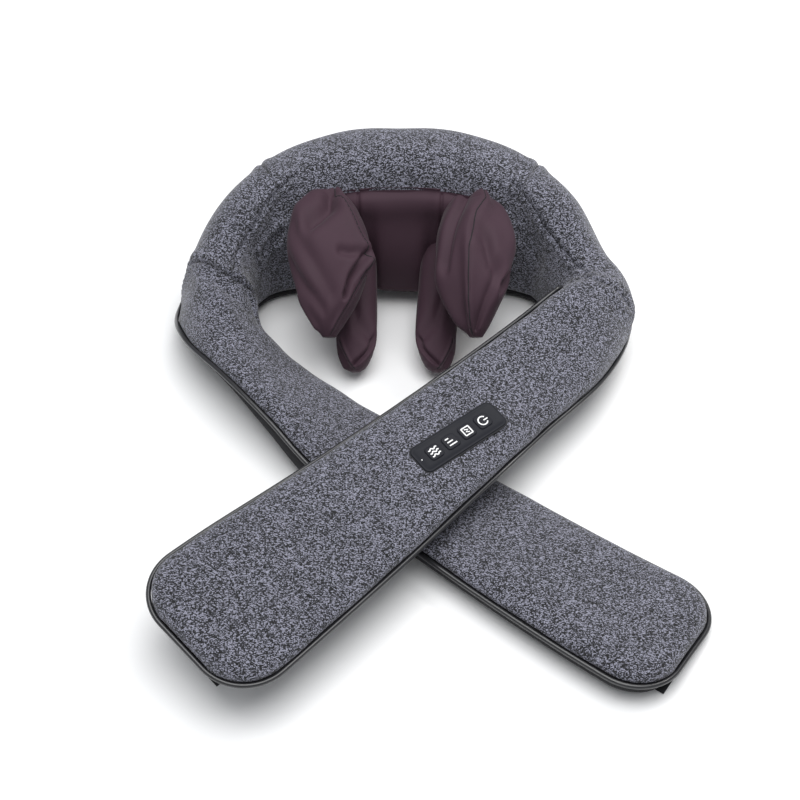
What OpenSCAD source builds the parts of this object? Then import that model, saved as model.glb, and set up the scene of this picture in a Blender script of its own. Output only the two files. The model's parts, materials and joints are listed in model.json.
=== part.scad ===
// Shiatsu neck massager: a padded collar that stands on its lining, with two crossed
// padded arms, and a geared shaft that rocks two pairs of kneading fingers in a pouch.
// X runs to the wearer's side, +Y to the back of the collar, +Z up. The origin lies on
// the surface it stands on, straight below the middle of the massage shaft.

/* [Collar] */
// Rise of the collar's crown above its piping line
crown_rise = 120; // [114:1:124]
// Half of the collar's depth from front to back at its middle
collar_half = 48; // [47:0.5:50]
// Thickness of the foam that lines the collar
collar_foam_t = 8; // [5:0.5:9]

/* [Arms] */
// Half of an arm's width at its tip
tip_half = 57; // [52:1:60]
// Corner radius of an arm's end
tip_r = 38; // [30:1:40]
// Rise of an arm's padded face above its piping line
arm_rise = 11; // [9.5:0.5:13]
// Height of the upper arm's piping line
upper_arm_z = 50; // [49:1:56]

/* [Fabric] */
// Thickness of the knit cover with its backing
cover_t = 2.5; // [1.5:0.1:2.8]
// Thickness of the lining
lining_t = 2; // [1:0.1:2.4]
// Radius of the piping cord
bead_r = 1.75; // [1.5:0.05:2]

/* [Massage drive] */
// Height of the massage shaft
shaft_z = 64; // [64:1:65]
// Radius of the massage shaft
shaft_r = 4; // [3:0.5:4]
// Distance of each kneading hub from the middle
hub_x = 42; // [41:0.5:42]
// Lean of each hub's bore, which sets the kneading stroke
hub_tilt = 3; // [1:0.5:3]
// Teeth on the worm wheel
wheel_teeth = 36; // [36:4:36]
// Gear module of the worm and its wheel
gear_mod = 0.8; // [0.8:0.1:0.8]

/* [Control panel] */
// Length of the control panel
panel_l = 76; // [74:1:82]
// Width of the control panel
panel_w = 23.5; // [22:0.5:25]
// Spacing of the four keys
key_pitch = 15.2; // [14.5:0.1:15.6]
// Side of one square key
key_size = 11.6; // [10:0.1:12]

/* [Hidden] */
// The cover and the lining each stand this far off the piping line.
lift = 0.15;

// Colours of the cloths and the moulded parts
knit = [0.29, 0.30, 0.32];
lining_c = [0.13, 0.13, 0.14];
plum = [0.25, 0.16, 0.17];
foam_c = [0.86, 0.84, 0.76];
black = [0.03, 0.03, 0.035];
slate = [0.17, 0.18, 0.22];
nylon = [0.82, 0.82, 0.80];
steel = [0.70, 0.71, 0.73];
bronze = [0.66, 0.48, 0.25];

// Stations along the padded shawl, from the middle of the collar to the tip of an arm.
// Each is: x, y, height of the piping line, half width, rise, drop, lean of the crown
// to the inside, roll in degrees, squareness of the crown, and how level the underside is.
collar_run = [
    [0, 25, 8, collar_half, crown_rise, 8 - lift, 0, 0, 2.6, 1],
    [48, 24, 8, collar_half, crown_rise - 2, 8 - lift, 2, 0, 2.6, 1],
    [95, 13, 8, collar_half - 5, crown_rise - 12, 8 - lift, 5, 0, 2.5, 1],
    [131, -12, 9, collar_half - 12, crown_rise - 28, 8.35, 8, 0, 2.4, 1]];
lower_run = [
    [148, -50, 11, collar_half - 15, crown_rise - 54, 8.4, 6, 0, 2.2, 0.6],
    [142, -92, 22, 34, 36, 8, 0, 22, 2.2, 0],
    [112, -131, 26, 36, 17, 8, 0, 28, 2.6, 0],
    [73, -168, 22, 40, arm_rise + 1, 9, 0, 23, 3.2, 0.5],
    [28, -208, 15, 45, arm_rise, 13, 0, 14, 3.5, 1],
    [-50, -270, 11, tip_half - 7, arm_rise, 9, 0, 9, 3.5, 1],
    [-130, -332, 11, tip_half - 3, arm_rise, 9, 0, 8, 3.5, 1],
    [-197, -379, 11, tip_half, arm_rise, 9, 0, 8, 3.5, 1]];
upper_run = [
    [148, -50, 14, collar_half - 15, crown_rise - 57.5, 8.6, 4.5, -3, 2.2, 0.5],
    [152, -92, upper_arm_z - 3.5, 36.5, 24.5, 9, 5.5, -38, 2.3, 0],
    [125.5, -131.5, upper_arm_z + 0.5, 39.5, 16, 9, 2, -26, 2.6, 0],
    [82, -176, upper_arm_z, 41.5, arm_rise + 2, 9, 0, -17, 3.2, 0],
    [34, -225, upper_arm_z, 46, arm_rise + 1, 9, 0, -9, 3.5, 0],
    [-35, -295, upper_arm_z, tip_half - 5, arm_rise, 9, 0, -8, 3.5, 0],
    [-96, -353, upper_arm_z - 1, tip_half, arm_rise, 9, 0, -8, 3.5, 0],
    [-142, -398, upper_arm_z - 2, tip_half + 2, arm_rise, 9, 0, -8, 3.5, 0]];
LEFT = concat(collar_run, lower_run);
RIGHT = concat(collar_run, upper_run);
last = len(RIGHT) - 1;

// Places along the shawl, counted in stations
split_t = 4.2;
notch_t = 2.3;
half_gap = 0.012;
// Angle round the crown at which the cover's hem meets the pouch
hem_angle = 46;
edge_room = 1 + bead_r + 0.15;
// An arm's cover ends this far from its tip, inside the piping.
end_room = edge_room + 0.6;
// Slack between a cover and the foam inside it
slack = 0.9;
// Share of the underside's half width that is flat
flat_share = 0.8;

// Catmull-Rom curve through the stations, mirrored in the middle of the collar.
function mirrored(v) = [for (i = [0:len(v) - 1]) i == 0 ? -v[i] : v[i]];
function station(P, t) =
    let (i = min(floor(t), len(P) - 2), u = t - i, b = P[i], c = P[i + 1],
         a = i > 0 ? P[i - 1] : mirrored(P[1]),
         d = i < len(P) - 2 ? P[i + 2] : 2 * c - b)
    (2 * b + (c - a) * u + (2 * a - 5 * b + 4 * c - d) * u * u
        + (3 * (b - c) + d - a) * u * u * u) / 2;
function unit(v) = v / norm(v);
function heading(P, t) =
    let (e = 0.01, lo = max(t - e, 0), hi = min(t + e, last),
         d = station(P, hi) - station(P, lo))
    t < e ? [1, 0] : unit([d[0], d[1]]);
// Distance left to the end of the arm, and the stations near the rounded end
function to_tip(P, t) = norm([for (k = [0:1]) P[last][k] - station(P, t)[k]]);
function tip_t(P, s) = last - s / to_tip(P, last - 1);
// A station whose half width is narrowed by room, with its corners rounded and its padding
// thinned over the last taper_l towards the tip
taper_l = 14;
function shaped(P, t, room = edge_room) =
    let (v = station(P, t), s = t > last - 1 ? to_tip(P, t) : 2 * tip_r,
         r = tip_r - room, d = max(0, tip_r - s),
         a = v[3] - tip_r + sqrt(max(0, r * r - d * d)),
         f = pow(1 - pow(1 - min(1, max(0, s - room) / taper_l), 2.5), 0.4))
    [v[0], v[1], v[2], a, v[4] * f, v[5] * f, v[6], v[7], v[8], v[9]];
// A point at X towards the inside and Z above the piping line of one station
function placed(v, T, side, X, Z) =
    let (r = v[7], flat = X * cos(r) + Z * sin(r))
    [side * (v[0] + flat * T[1]), v[1] - flat * T[0], v[2] - X * sin(r) + Z * cos(r)];
function crown(v, T, side, angle, inset) =
    let (k = pow(abs(sin(angle)), 2 / v[8]),
         X = sign(cos(angle)) * pow(abs(cos(angle)), 2 / v[8]) * (v[3] - inset))
    placed(v, T, side, X + k * v[6], lift + k * max(0.9 - inset * 0.15, v[4] - inset));
function belly(v, T, side, angle, inset) =
    let (X = cos(angle) * (v[3] - inset),
         k = min(1, pow(abs(sin(angle)), 0.5) / flat_share),
         drop = v[5] - v[9] * X * tan(v[7]))
    placed(v, T, side, X, -lift - k * max(0.9 - inset * 0.15, drop - inset));
function path_of(side) = side > 0 ? RIGHT : LEFT;
// A sheet over the crown between two angles, as a closed ring of points
function crown_ring(t, a0, a1, inset, thick, n = 9) =
    let (side = t < 0 ? -1 : 1, P = path_of(side), v = shaped(P, abs(t)),
         T = heading(P, abs(t)), step = (a1 - a0) / n)
    concat([for (i = [0:n]) crown(v, T, side, a0 + i * step, inset)],
           [for (i = [n:-1:0]) crown(v, T, side, a0 + i * step, inset + thick)]);
function belly_ring(t, inset, thick, n = 8) =
    let (side = t < 0 ? -1 : 1, P = path_of(side), v = shaped(P, abs(t)),
         T = heading(P, abs(t)))
    concat([for (i = [0:n]) belly(v, T, side, i * 180 / n, inset)],
           [for (i = [n:-1:0]) belly(v, T, side, i * 180 / n, inset + thick)]);
function core_ring(t, inset, n = 9, m = 8) =
    let (side = t < 0 ? -1 : 1, P = path_of(side), v = shaped(P, abs(t)),
         T = heading(P, abs(t)))
    concat([for (i = [0:n]) crown(v, T, side, i * 180 / n, inset)],
           [for (i = [m:-1:0]) belly(v, T, side, i * 180 / m, inset)]);
// Evenly spaced places between two stations, and the places along one arm
function between(t0, t1, n) = [for (i = [0:n]) t0 + (t1 - t0) * i / n];
function arm_places(side, short) =
    let (P = path_of(side), t1 = tip_t(P, tip_r + 2))
    concat([for (t = between(split_t + half_gap, t1, 18)) side * t],
           [for (a = [12:17:80]) side * tip_t(P, short + (tip_r - short) * (1 - sin(a)))],
           [side * tip_t(P, short)]);

// Joins rings of equal length into one closed solid and turns its faces outwards.
function six_volumes(p, f) =
    [for (t = f) cross(p[t[0]], p[t[1]]) * p[t[2]]] * [for (t = f) 1];
module skin(rings, looped = false) {
    n = len(rings[0]);
    m = len(rings);
    pts = [for (r = rings) each r];
    walls = [for (j = [0:m - (looped ? 1 : 2)], i = [0:n - 1], half = [0, 1])
        let (a = j * n + i, b = j * n + (i + 1) % n,
             c = ((j + 1) % m) * n + (i + 1) % n, d = ((j + 1) % m) * n + i)
        half == 0 ? [a, b, c] : [a, c, d]];
    ends = looped ? [] : [[for (i = [n - 1:-1:0]) i], [for (i = [0:n - 1]) (m - 1) * n + i]];
    out = six_volumes(pts, walls) < 0;
    faces = concat(walls, ends);
    polyhedron(pts, [for (f = faces) out ? f : [for (i = [len(f) - 1:-1:0]) f[i]]]);
}
// Ends of a sheet are strips between its outer and inner curve, so they stay flat.
module sheet(rings) {
    n = len(rings[0]);
    m = len(rings);
    h = n / 2;
    pts = [for (r = rings) each r];
    walls = [for (j = [0:m - 2], i = [0:n - 1], half = [0, 1])
        let (a = j * n + i, b = j * n + (i + 1) % n, c = b + n, d = a + n)
        half == 0 ? [a, b, c] : [a, c, d]];
    caps = [for (e = [0, 1], i = [0:h - 2], half = [0, 1])
        let (o = e * (m - 1) * n, a = o + i, b = o + i + 1, c = o + n - 2 - i, d = o + n - 1 - i,
             f = half == 0 ? [a, c, b] : [a, d, c])
        e == 0 ? f : [f[2], f[1], f[0]]];
    faces = concat(walls, caps);
    out = six_volumes(pts, faces) < 0;
    polyhedron(pts, [for (f = faces) out ? f : [f[2], f[1], f[0]]]);
}
// A round cord or wire of radius r through a list of points
module tube(route, r, sides = 8, looped = false) {
    m = len(route) - 1;
    rings = [for (i = [0:m])
        let (d = unit(route[min(i + 1, m)] - route[max(i - 1, 0)]),
             across = unit(cross(d, abs(d[2]) > 0.9 ? [1, 0, 0] : [0, 0, 1])),
             up = cross(across, d))
        [for (k = [0:sides - 1])
            route[i] + r * (cos(k * 360 / sides) * across + sin(k * 360 / sides) * up)]];
    skin(rings, looped);
}
module along_x(r, x0, x1) {
    translate([x0, 0, 0]) rotate([0, 90, 0]) cylinder(r = r, h = x1 - x0, $fn = 64);
}
module box_between(lo, hi) { translate(lo) cube(hi - lo); }

// ---- padded covers, foam and lining --------------------------------------------------
port_z = 22;
port_room = [17, 40, 10];
module port_cut() {
    translate([0, 66, port_z]) cube(port_room, center = true);
}
module cover_back() {
    color(knit) difference() {
        sheet([for (t = between(-notch_t + half_gap, notch_t - half_gap, 12))
            crown_ring(t, hem_angle, 180, 0, cover_t)]);
        port_cut();
    }
}
module shoulder_sheet(side, inset, thick) {
    sheet([for (t = between(notch_t + half_gap, split_t - half_gap, 5))
        crown_ring(side * t, 0, 180, inset, thick)]);
}
module cover_left_shoulder() { color(knit) shoulder_sheet(-1, 0, cover_t); }
module cover_right_shoulder() { color(knit) shoulder_sheet(1, 0, cover_t); }
module left_shoulder_foam() {
    color(foam_c) shoulder_sheet(-1, cover_t + slack, collar_foam_t);
}
module right_shoulder_foam() {
    color(foam_c) shoulder_sheet(1, cover_t + slack, collar_foam_t);
}
gusset_t = 1.86;
module knit_gussets() {
    color(knit) for (side = [-1, 1])
        sheet([for (t = between(gusset_t, notch_t - half_gap, 2))
            crown_ring(side * t, 1, hem_angle - 1, 0, cover_t, 5)]);
}
module collar_foam() {
    color(foam_c) difference() {
        sheet([for (t = between(-notch_t + half_gap, notch_t - half_gap, 12))
            crown_ring(t, hem_angle, 180, cover_t + slack, collar_foam_t)]);
        port_cut();
    }
}
module collar_lining() {
    color(lining_c) sheet([for (t = between(-split_t + half_gap, split_t - half_gap, 20))
        belly_ring(t, 0, lining_t)]);
}
panel_edge_t = 0.5;
pouch_bulge = 3.6;
pouch_t = 1.6;
module pouch_panel() {
    color(plum) sheet([for (t = between(-panel_edge_t, panel_edge_t, 4))
        crown_ring(t, 3, hem_angle - 1, -pouch_bulge, pouch_t, 6)]);
}

module arm_cover(side) {
    sheet([for (t = arm_places(side, end_room)) crown_ring(t, 0, 180, 0, cover_t)]);
}
module arm_foam(side) {
    skin([for (t = arm_places(side, end_room + 4.4)) core_ring(t, cover_t + 1.6 * slack)]);
}
module arm_lining(side) {
    sheet([for (t = arm_places(side, end_room)) belly_ring(t, 0, lining_t)]);
}
// The piping runs down the outer edge, round the end and back up the inner edge.
module arm_piping(side) {
    P = path_of(side);
    edge = [for (t = arm_places(side, 1)) let (v = shaped(P, abs(t), 1), T = heading(P, abs(t)))
        [for (e = [-1, 1]) placed(v, T, side, e * v[3], 0)]];
    n = len(edge) - 1;
    tube(concat([for (i = [0:n]) edge[i][0]], [for (i = [n:-1:0]) edge[i][1]]), bead_r);
}
// Each hand strap is a wide elastic band on the underside, just short of the arm's end.
strap_l = 108;
strap_w = 66;
strap_t = 1.6;
strap_past = -3;
module arm_strap(side) {
    v = side > 0 ? RIGHT[last] : LEFT[last];
    T = heading(path_of(side), last);
    turn = atan2(T[1], side * T[0]);
    lean = side > 0 ? v[7] : 0;
    translate([side * v[0], v[1], v[2]]) rotate([lean * side, 0, turn])
        translate([strap_past - strap_l, -strap_w / 2, -v[5] - lift - 0.25 - strap_t])
            linear_extrude(strap_t) rounded(strap_l, strap_w, 8);
}
module rounded(l, w, r) {
    translate([r, 0]) square([l - 2 * r, w]);
    translate([0, r]) square([l, w - 2 * r]);
    for (x = [r, l - r], y = [r, w - r]) translate([x, y]) circle(r = r, $fn = 32);
}
module cover_left_arm() { color(knit) arm_cover(-1); }
module foam_left_arm() { color(foam_c) arm_foam(-1); }
module lining_left_arm() { color(lining_c) arm_lining(-1); }
module piping_left_arm() { color(black) arm_piping(-1); }
module strap_left() { color(lining_c) arm_strap(-1); }
module cover_right_arm() {
    color(knit) difference() {
        arm_cover(1);
        panel_cut();
    }
}
module foam_right_arm() {
    color(foam_c) difference() {
        arm_foam(1);
        panel_cut();
    }
}
module lining_right_arm() { color(lining_c) arm_lining(1); }
module piping_right_arm() { color(black) arm_piping(1); }
module strap_right() { color(lining_c) arm_strap(1); }

// ---- control panel on the upper arm -----------------------------------------------------
panel_place = [41.8, -230.8, 61];
panel_turn = [9, 0, 39.5];
tray_depth = 6.5;
wall = 1.4;
fascia_t = 1.4;
key_h = 2.6;
key_flange = 1.6;
key_stem = 1.2;
module on_panel() { translate(panel_place) rotate(panel_turn) children(); }
module panel_cut() {
    on_panel() translate([-panel_l / 2 - 0.8, -panel_w / 2 - 0.8, -tray_depth - 0.3])
        cube([panel_l + 1.6, panel_w + 1.6, tray_depth + 12]);
}
module plate(l, w, r, h) {
    translate([-l / 2, -w / 2, 0]) linear_extrude(h) rounded(l, w, r);
}
module key_places() {
    for (i = [-1.5:1.5]) translate([i * key_pitch, 0, 0]) children();
}
module control_tray() {
    color(black) on_panel() translate([0, 0, -tray_depth]) difference() {
        plate(panel_l, panel_w, 5, tray_depth);
        translate([0, 0, wall])
            plate(panel_l - 2 * wall, panel_w - 2 * wall, 5 - wall, tray_depth);
    }
}
module control_fascia() {
    color(slate) on_panel() translate([0, 0, 0.05]) difference() {
        plate(panel_l, panel_w, 5, fascia_t);
        translate([0, 0, -1]) key_places() plate(key_size + 0.5, key_size + 0.5, 2.75, 4);
        translate([-1.5 * key_pitch - 11.5, 0, -1]) cylinder(r = 0.8, h = 4, $fn = 24);
    }
}
module key_board() {
    color([0.05, 0.25, 0.12]) on_panel() translate([0, 0, -tray_depth + wall + 0.1]) {
        plate(panel_l - 2 * wall - 1, panel_w - 2 * wall - 1, 2, 1.2);
        key_places() translate([-3, -3, 1.2]) cube([6, 6, 1]);
        translate([-1.5 * key_pitch - 11.5, 0, 1.2]) cylinder(r = 0.75, h = 4.6, $fn = 24);
    }
}
module panel_key(i) {
    color(slate) on_panel() translate([(i - 1.5) * key_pitch, 0, fascia_t + 0.45 - key_h]) {
        plate(key_size, key_size, 2.5, key_h);
        plate(key_size + key_flange, key_size + key_flange, 2.8, 0.75);
        translate([0, 0, -key_stem]) cylinder(r = 1.6, h = key_stem + 0.1, $fn = 32);
    }
}
module key_heat() { panel_key(0); }
module key_strength() { panel_key(1); }
module key_mode() { panel_key(2); }
module key_power() { panel_key(3); }

// ---- chassis, gearbox and motor ----------------------------------------------------------
pitch_r = wheel_teeth * gear_mod / 2;
worm_r = 5;
worm_y = pitch_r + worm_r;
lead = PI * gear_mod;
box_half = 14;
box_r = 18;
lug_r = 3.2;
lug_at = [for (a = [135, 225]) [19.5 * cos(a), shaft_z + 19.5 * sin(a)]];
tower_lo = [-box_half, 0, 48];
tower_hi = [box_half, 30, 83];
bolt_at = concat(lug_at, [[26.6, 51.4], [26.6, 79.6]]);
motor_r = 13.85;
motor_top = 47.9;
motor_l = 36;
module at_shaft() { translate([0, 0, shaft_z]) children(); }
module gearbox_body() {
    difference() {
        union() {
            at_shaft() along_x(box_r, -box_half, box_half);
            box_between(tower_lo, tower_hi);
            for (p = lug_at) translate([0, p[0], p[1]]) along_x(lug_r, -box_half, box_half);
        }
        at_shaft() along_x(pitch_r + 1.8, -4, 4);
        at_shaft() along_x(shaft_r + 0.8, -20, 20);
        for (x = [-box_half - 1, 8]) at_shaft() along_x(6, x, x + 7);
        translate([0, worm_y, 51]) cylinder(r = 7, h = 28, $fn = 64);
        translate([0, worm_y, motor_top - 10]) cylinder(r = motor_r + 0.1, h = 10.1, $fn = 64);
        translate([0, worm_y, 40]) cylinder(r = 2.6, h = 15, $fn = 48);
        translate([0, worm_y, 75]) cylinder(r = 1.56, h = 6, $fn = 48);
        for (p = bolt_at) translate([0, p[0], p[1]]) along_x(1.3, -20, 20);
    }
}
module gearbox_half(side) {
    intersection() {
        gearbox_body();
        translate([side > 0 ? 0.05 : -40.05, -40, 20]) cube([40, 90, 90]);
    }
}
module gearbox_left() { color(nylon) gearbox_half(-1); }
module gearbox_right() { color(nylon * 0.95) gearbox_half(1); }
module gearbox_screws() {
    color(steel) for (p = bolt_at) translate([0, p[0], p[1]]) {
        along_x(1.25, -12, box_half + 0.1);
        along_x(2.4, box_half + 0.1, box_half + 2);
    }
}
module shaft_bushes() {
    color(bronze) for (side = [-1, 1]) at_shaft() difference() {
        along_x(5.97, side > 0 ? 8.1 : -box_half, side > 0 ? box_half : -8.1);
        along_x(shaft_r + 0.05, -30, 30);
    }
}
module motor() {
    color(steel) translate([0, worm_y, motor_top - motor_l]) {
        difference() {
            union() {
                cylinder(r = motor_r, h = motor_l, $fn = 64);
                translate([0, 0, -1.6]) cylinder(r = 5, h = 1.7, $fn = 48);
            }
            translate([0, 0, motor_l - 14]) cylinder(r = 1.6, h = 15, $fn = 48);
            for (side = [-1, 1]) translate([side * 30, 0, motor_l / 2])
                cube([2 * (30 - motor_r + 0.9), 40, 50], center = true);
        }
    }
}
module chassis_base() {
    color(black) {
        translate([0, 0, 3.6]) linear_extrude(2.2) polygon([[-84, 4], [-70, -4], [70, -4],
            [84, 4], [84, 34], [60, 46], [-60, 46], [-84, 34]]);
        for (x = [-74, -28, 28, 74]) difference() {
            box_between([x - 2, 5, 5.7], [x + 2, 23, 15]);
            translate([0, cell_y, cell_z]) along_x(cell_r + 0.1, -90, 90);
        }
        translate([0, worm_y, 5.7]) difference() {
            cylinder(r = 11, h = 4.5, $fn = 64);
            translate([0, 0, 1]) cylinder(r = 6, h = 5, $fn = 64);
        }
    }
}
cell_r = 9.1;
cell_l = 65;
cell_y = 14;
cell_z = 17;
module battery_cells() {
    color([0.1, 0.35, 0.55]) translate([0, cell_y, cell_z]) for (side = [-1, 1]) {
        along_x(cell_r, side > 0 ? 18 : -18 - cell_l, side > 0 ? 18 + cell_l : -18);
        along_x(2.8, side > 0 ? 17 : -18.05, side > 0 ? 18.05 : -17);
    }
}
spine_y = 37.5;
spine_t = 3;
spine_half = 56;
module spine_frame() {
    color(nylon) difference() {
        union() {
            box_between([-spine_half, spine_y, 40], [spine_half, spine_y + spine_t, 85]);
            for (x = [-spine_half, spine_half - 7])
                box_between([x, spine_y, 5.85], [x + 7, spine_y + spine_t, 41]);
            for (x = [-28, 28], z = [49, 78]) translate([x, spine_y + spine_t - 0.1, z])
                rotate([-90, 0, 0]) cylinder(r = 2.6, h = 2.5, $fn = 32);
            for (z = [53, 77]) box_between([-8, 30.1, z - 3], [8, spine_y + 0.1, z + 3]);
        }
        for (x = [-28, 28], z = [49, 78]) translate([x, spine_y - 1, z])
            rotate([-90, 0, 0]) cylinder(r = 1.05, h = 9, $fn = 32);
    }
}
guide_z = 4.4;
module guide(side) {
    x = side * hub_x;
    difference() {
        box_between([x - 11, 26.5, shaft_z - 11], [x + 11, spine_y - 0.05, shaft_z + 11]);
        box_between([x - 8.5, 20, shaft_z - guide_z], [x + 8.5, 36, shaft_z + guide_z]);
    }
}
module guide_left() { color(black) guide(-1); }
module guide_right() { color(black) guide(1); }
board_y = 43;
module main_board() {
    color([0.05, 0.28, 0.14]) {
        difference() {
            box_between([-34, board_y, 45], [34, board_y + 1.6, 82]);
            for (x = [-28, 28], z = [49, 78]) translate([x, board_y - 1, z])
                rotate([-90, 0, 0]) cylinder(r = 1.5, h = 4, $fn = 32);
        }
        box_between([-6, board_y + 1.5, 58], [6, board_y + 3.2, 70]);
        box_between([12, board_y + 1.5, 52], [22, board_y + 6, 58]);
        box_between([-24, board_y + 1.5, 60], [-16, board_y + 5, 72]);
    }
}
module board_screws() {
    color(steel) for (x = [-28, 28], z = [49, 78]) translate([x, board_y - 5, z])
        rotate([-90, 0, 0]) {
            cylinder(r = 1, h = 6.7, $fn = 32);
            translate([0, 0, 6.65]) cylinder(r = 2.2, h = 1.4, $fn = 32);
        }
}
module slot_shape(l, w) {
    for (s = [-1, 1]) translate([s * (l - w) / 2, 0]) circle(r = w / 2, $fn = 32);
    square([l - w, w], center = true);
}
module charge_port() {
    color(black) translate([0, 0, port_z]) rotate([-90, 0, 0]) difference() {
        translate([0, 0, 60]) linear_extrude(10.6) square([15.5, 8.5], center = true);
        translate([0, 0, 64]) linear_extrude(10) slot_shape(8.94, 3.26);
    }
}
module wire_harness() {
    color([0.75, 0.12, 0.1]) {
        tube([[6, 33, 14], [6, 36, 17], [6, 43, 22], [6, 48, 32], [6, 48, 44]], 1, 6);
        for (side = [-1, 1]) tube([[side * 84.5, 14, 17], [side * 86, 26, 16],
            [side * 78, 32, 15], [side * 54, 45, 16], [side * 20, 49, 30],
            [side * 14, 49, 46]], 1, 6);
        tube([[36, 46, 64], [60, 44, 62], [95, 18, 55], [128, -10, 45], [147, -46, 34]], 1.4, 6);
    }
}

// ---- shaft, worm gear and kneading arms ---------------------------------------------------
module output_shaft() { color(steel) at_shaft() along_x(shaft_r, -56, 56); }
tooth_fill = 0.38;
// One tooth: root, tip, tip, root, as polar points about the wheel's axis
function tooth(i) =
    let (c = (i + 0.5) * 360 / wheel_teeth, half = 360 / wheel_teeth * tooth_fill / 2,
         root = pitch_r - 1.25 * gear_mod, tip = pitch_r + gear_mod)
    [for (p = [[root, -1.45], [tip, -0.6], [tip, 0.6], [root, 1.45]])
        p[0] * [cos(c + p[1] * half), sin(c + p[1] * half)]];
module worm_wheel() {
    color(nylon) at_shaft() rotate([90, 0, 90]) difference() {
        union() {
            translate([0, 0, -3]) linear_extrude(6)
                polygon([for (i = [0:wheel_teeth - 1]) each tooth(i)]);
            translate([0, 0, -3.8]) cylinder(r = 8, h = 7.6, $fn = 64);
        }
        translate([0, 0, -5]) cylinder(r = shaft_r + 0.02, h = 10, $fn = 64);
    }
}
// The worm's thread is a trapezoid carried up a right-hand helix, clear of its core.
thread_turns = 7;
module worm() {
    color(bronze) translate([0, worm_y, shaft_z]) {
        difference() {
            translate([0, 0, -12]) cylinder(r = 4, h = 22, $fn = 64);
            translate([0, 0, -15]) cylinder(r = 1.52, h = 30, $fn = 48);
        }
        skin([for (k = [-thread_turns * 6:thread_turns * 6])
            let (a = k * 30 - 90, z = lead * k / 12,
                 half = lead * tooth_fill / 2)
            [for (p = [[4.02, -1.45], [5.8, -0.6], [5.8, 0.6], [4.02, 1.45]])
                [p[0] * cos(a), p[0] * sin(a), z + p[1] * half]]]);
    }
}
module rotor_shaft() {
    color(steel) translate([0, worm_y, motor_top - 12]) cylinder(r = 1.5, h = 44, $fn = 48);
}
module shaft_clips() {
    color(steel) for (side = [-1, 1]) at_shaft() difference() {
        along_x(6, side * 54 - 0.6, side * 54 + 0.6);
        along_x(shaft_r + 0.02, -60, 60);
    }
}
// Everything on a hub's leaning axis is drawn along X and leaned about Y.
module on_hub(side) {
    translate([side * hub_x, 0, shaft_z]) rotate([0, side * hub_tilt, 0]) children();
}
module hub(side) {
    difference() {
        on_hub(side) {
            along_x(9, -8, 8);
            along_x(10.4, side > 0 ? -8 : 5.4, side > 0 ? -5.4 : 8);
        }
        at_shaft() along_x(shaft_r + 0.02, -70, 70);
    }
}
module hub_left() { color(black) hub(-1); }
module hub_right() { color(black) hub(1); }
bearing_half = 4;
module ring_between(r0, r1, half) {
    difference() {
        along_x(r1, -half, half);
        along_x(r0, -half - 1, half + 1);
    }
}
module bearing(side) {
    on_hub(side) {
        ring_between(9.04, 10.8, bearing_half);
        ring_between(13.2, 14.97, bearing_half);
        for (i = [0:9]) rotate([i * 36, 0, 0]) translate([0, 12, 0]) sphere(r = 1.15, $fn = 24);
    }
}
module bearing_left() { color(steel) bearing(-1); }
module bearing_right() { color(steel) bearing(1); }

// Each yoke is a ring with an upper and a lower finger, flat plates of varying width.
upper_finger = [[-6, 77, 16], [-26, 89, 15], [-50, 92.5, 13], [-68, 89, 12], [-79.5, 80.6, 11]];
lower_finger = [[-8, 51, 14], [-30, 40, 12], [-60, 34, 11], [-86.5, 26.8, 9]];
upper_head = [-88, 70, 13];
lower_head = [-95.5, 24, 8.5];
function side_of(p, i, s) =
    let (m = len(p) - 1, a = p[max(i - 1, 0)], b = p[min(i + 1, m)],
         d = unit([b[0] - a[0], b[1] - a[1]]))
    [p[i][0] - s * d[1] * p[i][2] / 2, p[i][1] + s * d[0] * p[i][2] / 2];
function band(p) = concat([for (i = [0:len(p) - 1]) side_of(p, i, 1)],
                          [for (i = [len(p) - 1:-1:0]) side_of(p, i, -1)]);
// A plate drawn in Y and Z, from x0 to x1
module side_plate(x0, x1) {
    translate([min(x0, x1), 0, 0]) rotate([90, 0, 90]) linear_extrude(abs(x1 - x0)) children();
}
module stud(side, x, from, to, r) {
    d = [0, to[0] - from[0], to[1] - from[1]];
    translate([side * x, from[0], from[1]]) rotate([atan2(d[2], d[1]), 0, 0])
        rotate([-90, 0, 0]) cylinder(r = r, h = norm(d), $fn = 32);
}
upper_x = 52;
lower_x = 34;
module yoke(side) {
    difference() {
        union() {
            on_hub(side) along_x(20, -6, 6);
            side_plate(side * (upper_x - 5), side * (upper_x + 4)) polygon(band(upper_finger));
            side_plate(side * (lower_x - 4), side * (lower_x + 5)) polygon(band(lower_finger));
            side_plate(side * (hub_x - 5.5), side * (upper_x + 4)) polygon(band(
                [[-5, 78, 12], [-14, 83, 12], [-24, 88, 12]]));
            side_plate(side * (lower_x - 4), side * (hub_x + 5.5)) polygon(band(
                [[-5, 51, 10], [-14, 48, 10], [-24, 43, 10]]));
            stud(side, upper_x, [-79, 81.5], [-88.6, 69.2], 3);
            stud(side, lower_x, [-86, 27], [-97, 23.5], 2.5);
            translate([side * hub_x, 18, shaft_z]) rotate([-90, 0, 0])
                cylinder(r = 2.2, h = 12, $fn = 32);
            translate([side * hub_x, 31, shaft_z]) sphere(r = 4, $fn = 48);
        }
        on_hub(side) along_x(15, -8, 8);
        on_hub(side) along_x(10, -30, 30);
    }
}
module yoke_left() { color(nylon) yoke(-1); }
module yoke_right() { color(nylon) yoke(1); }
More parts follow.
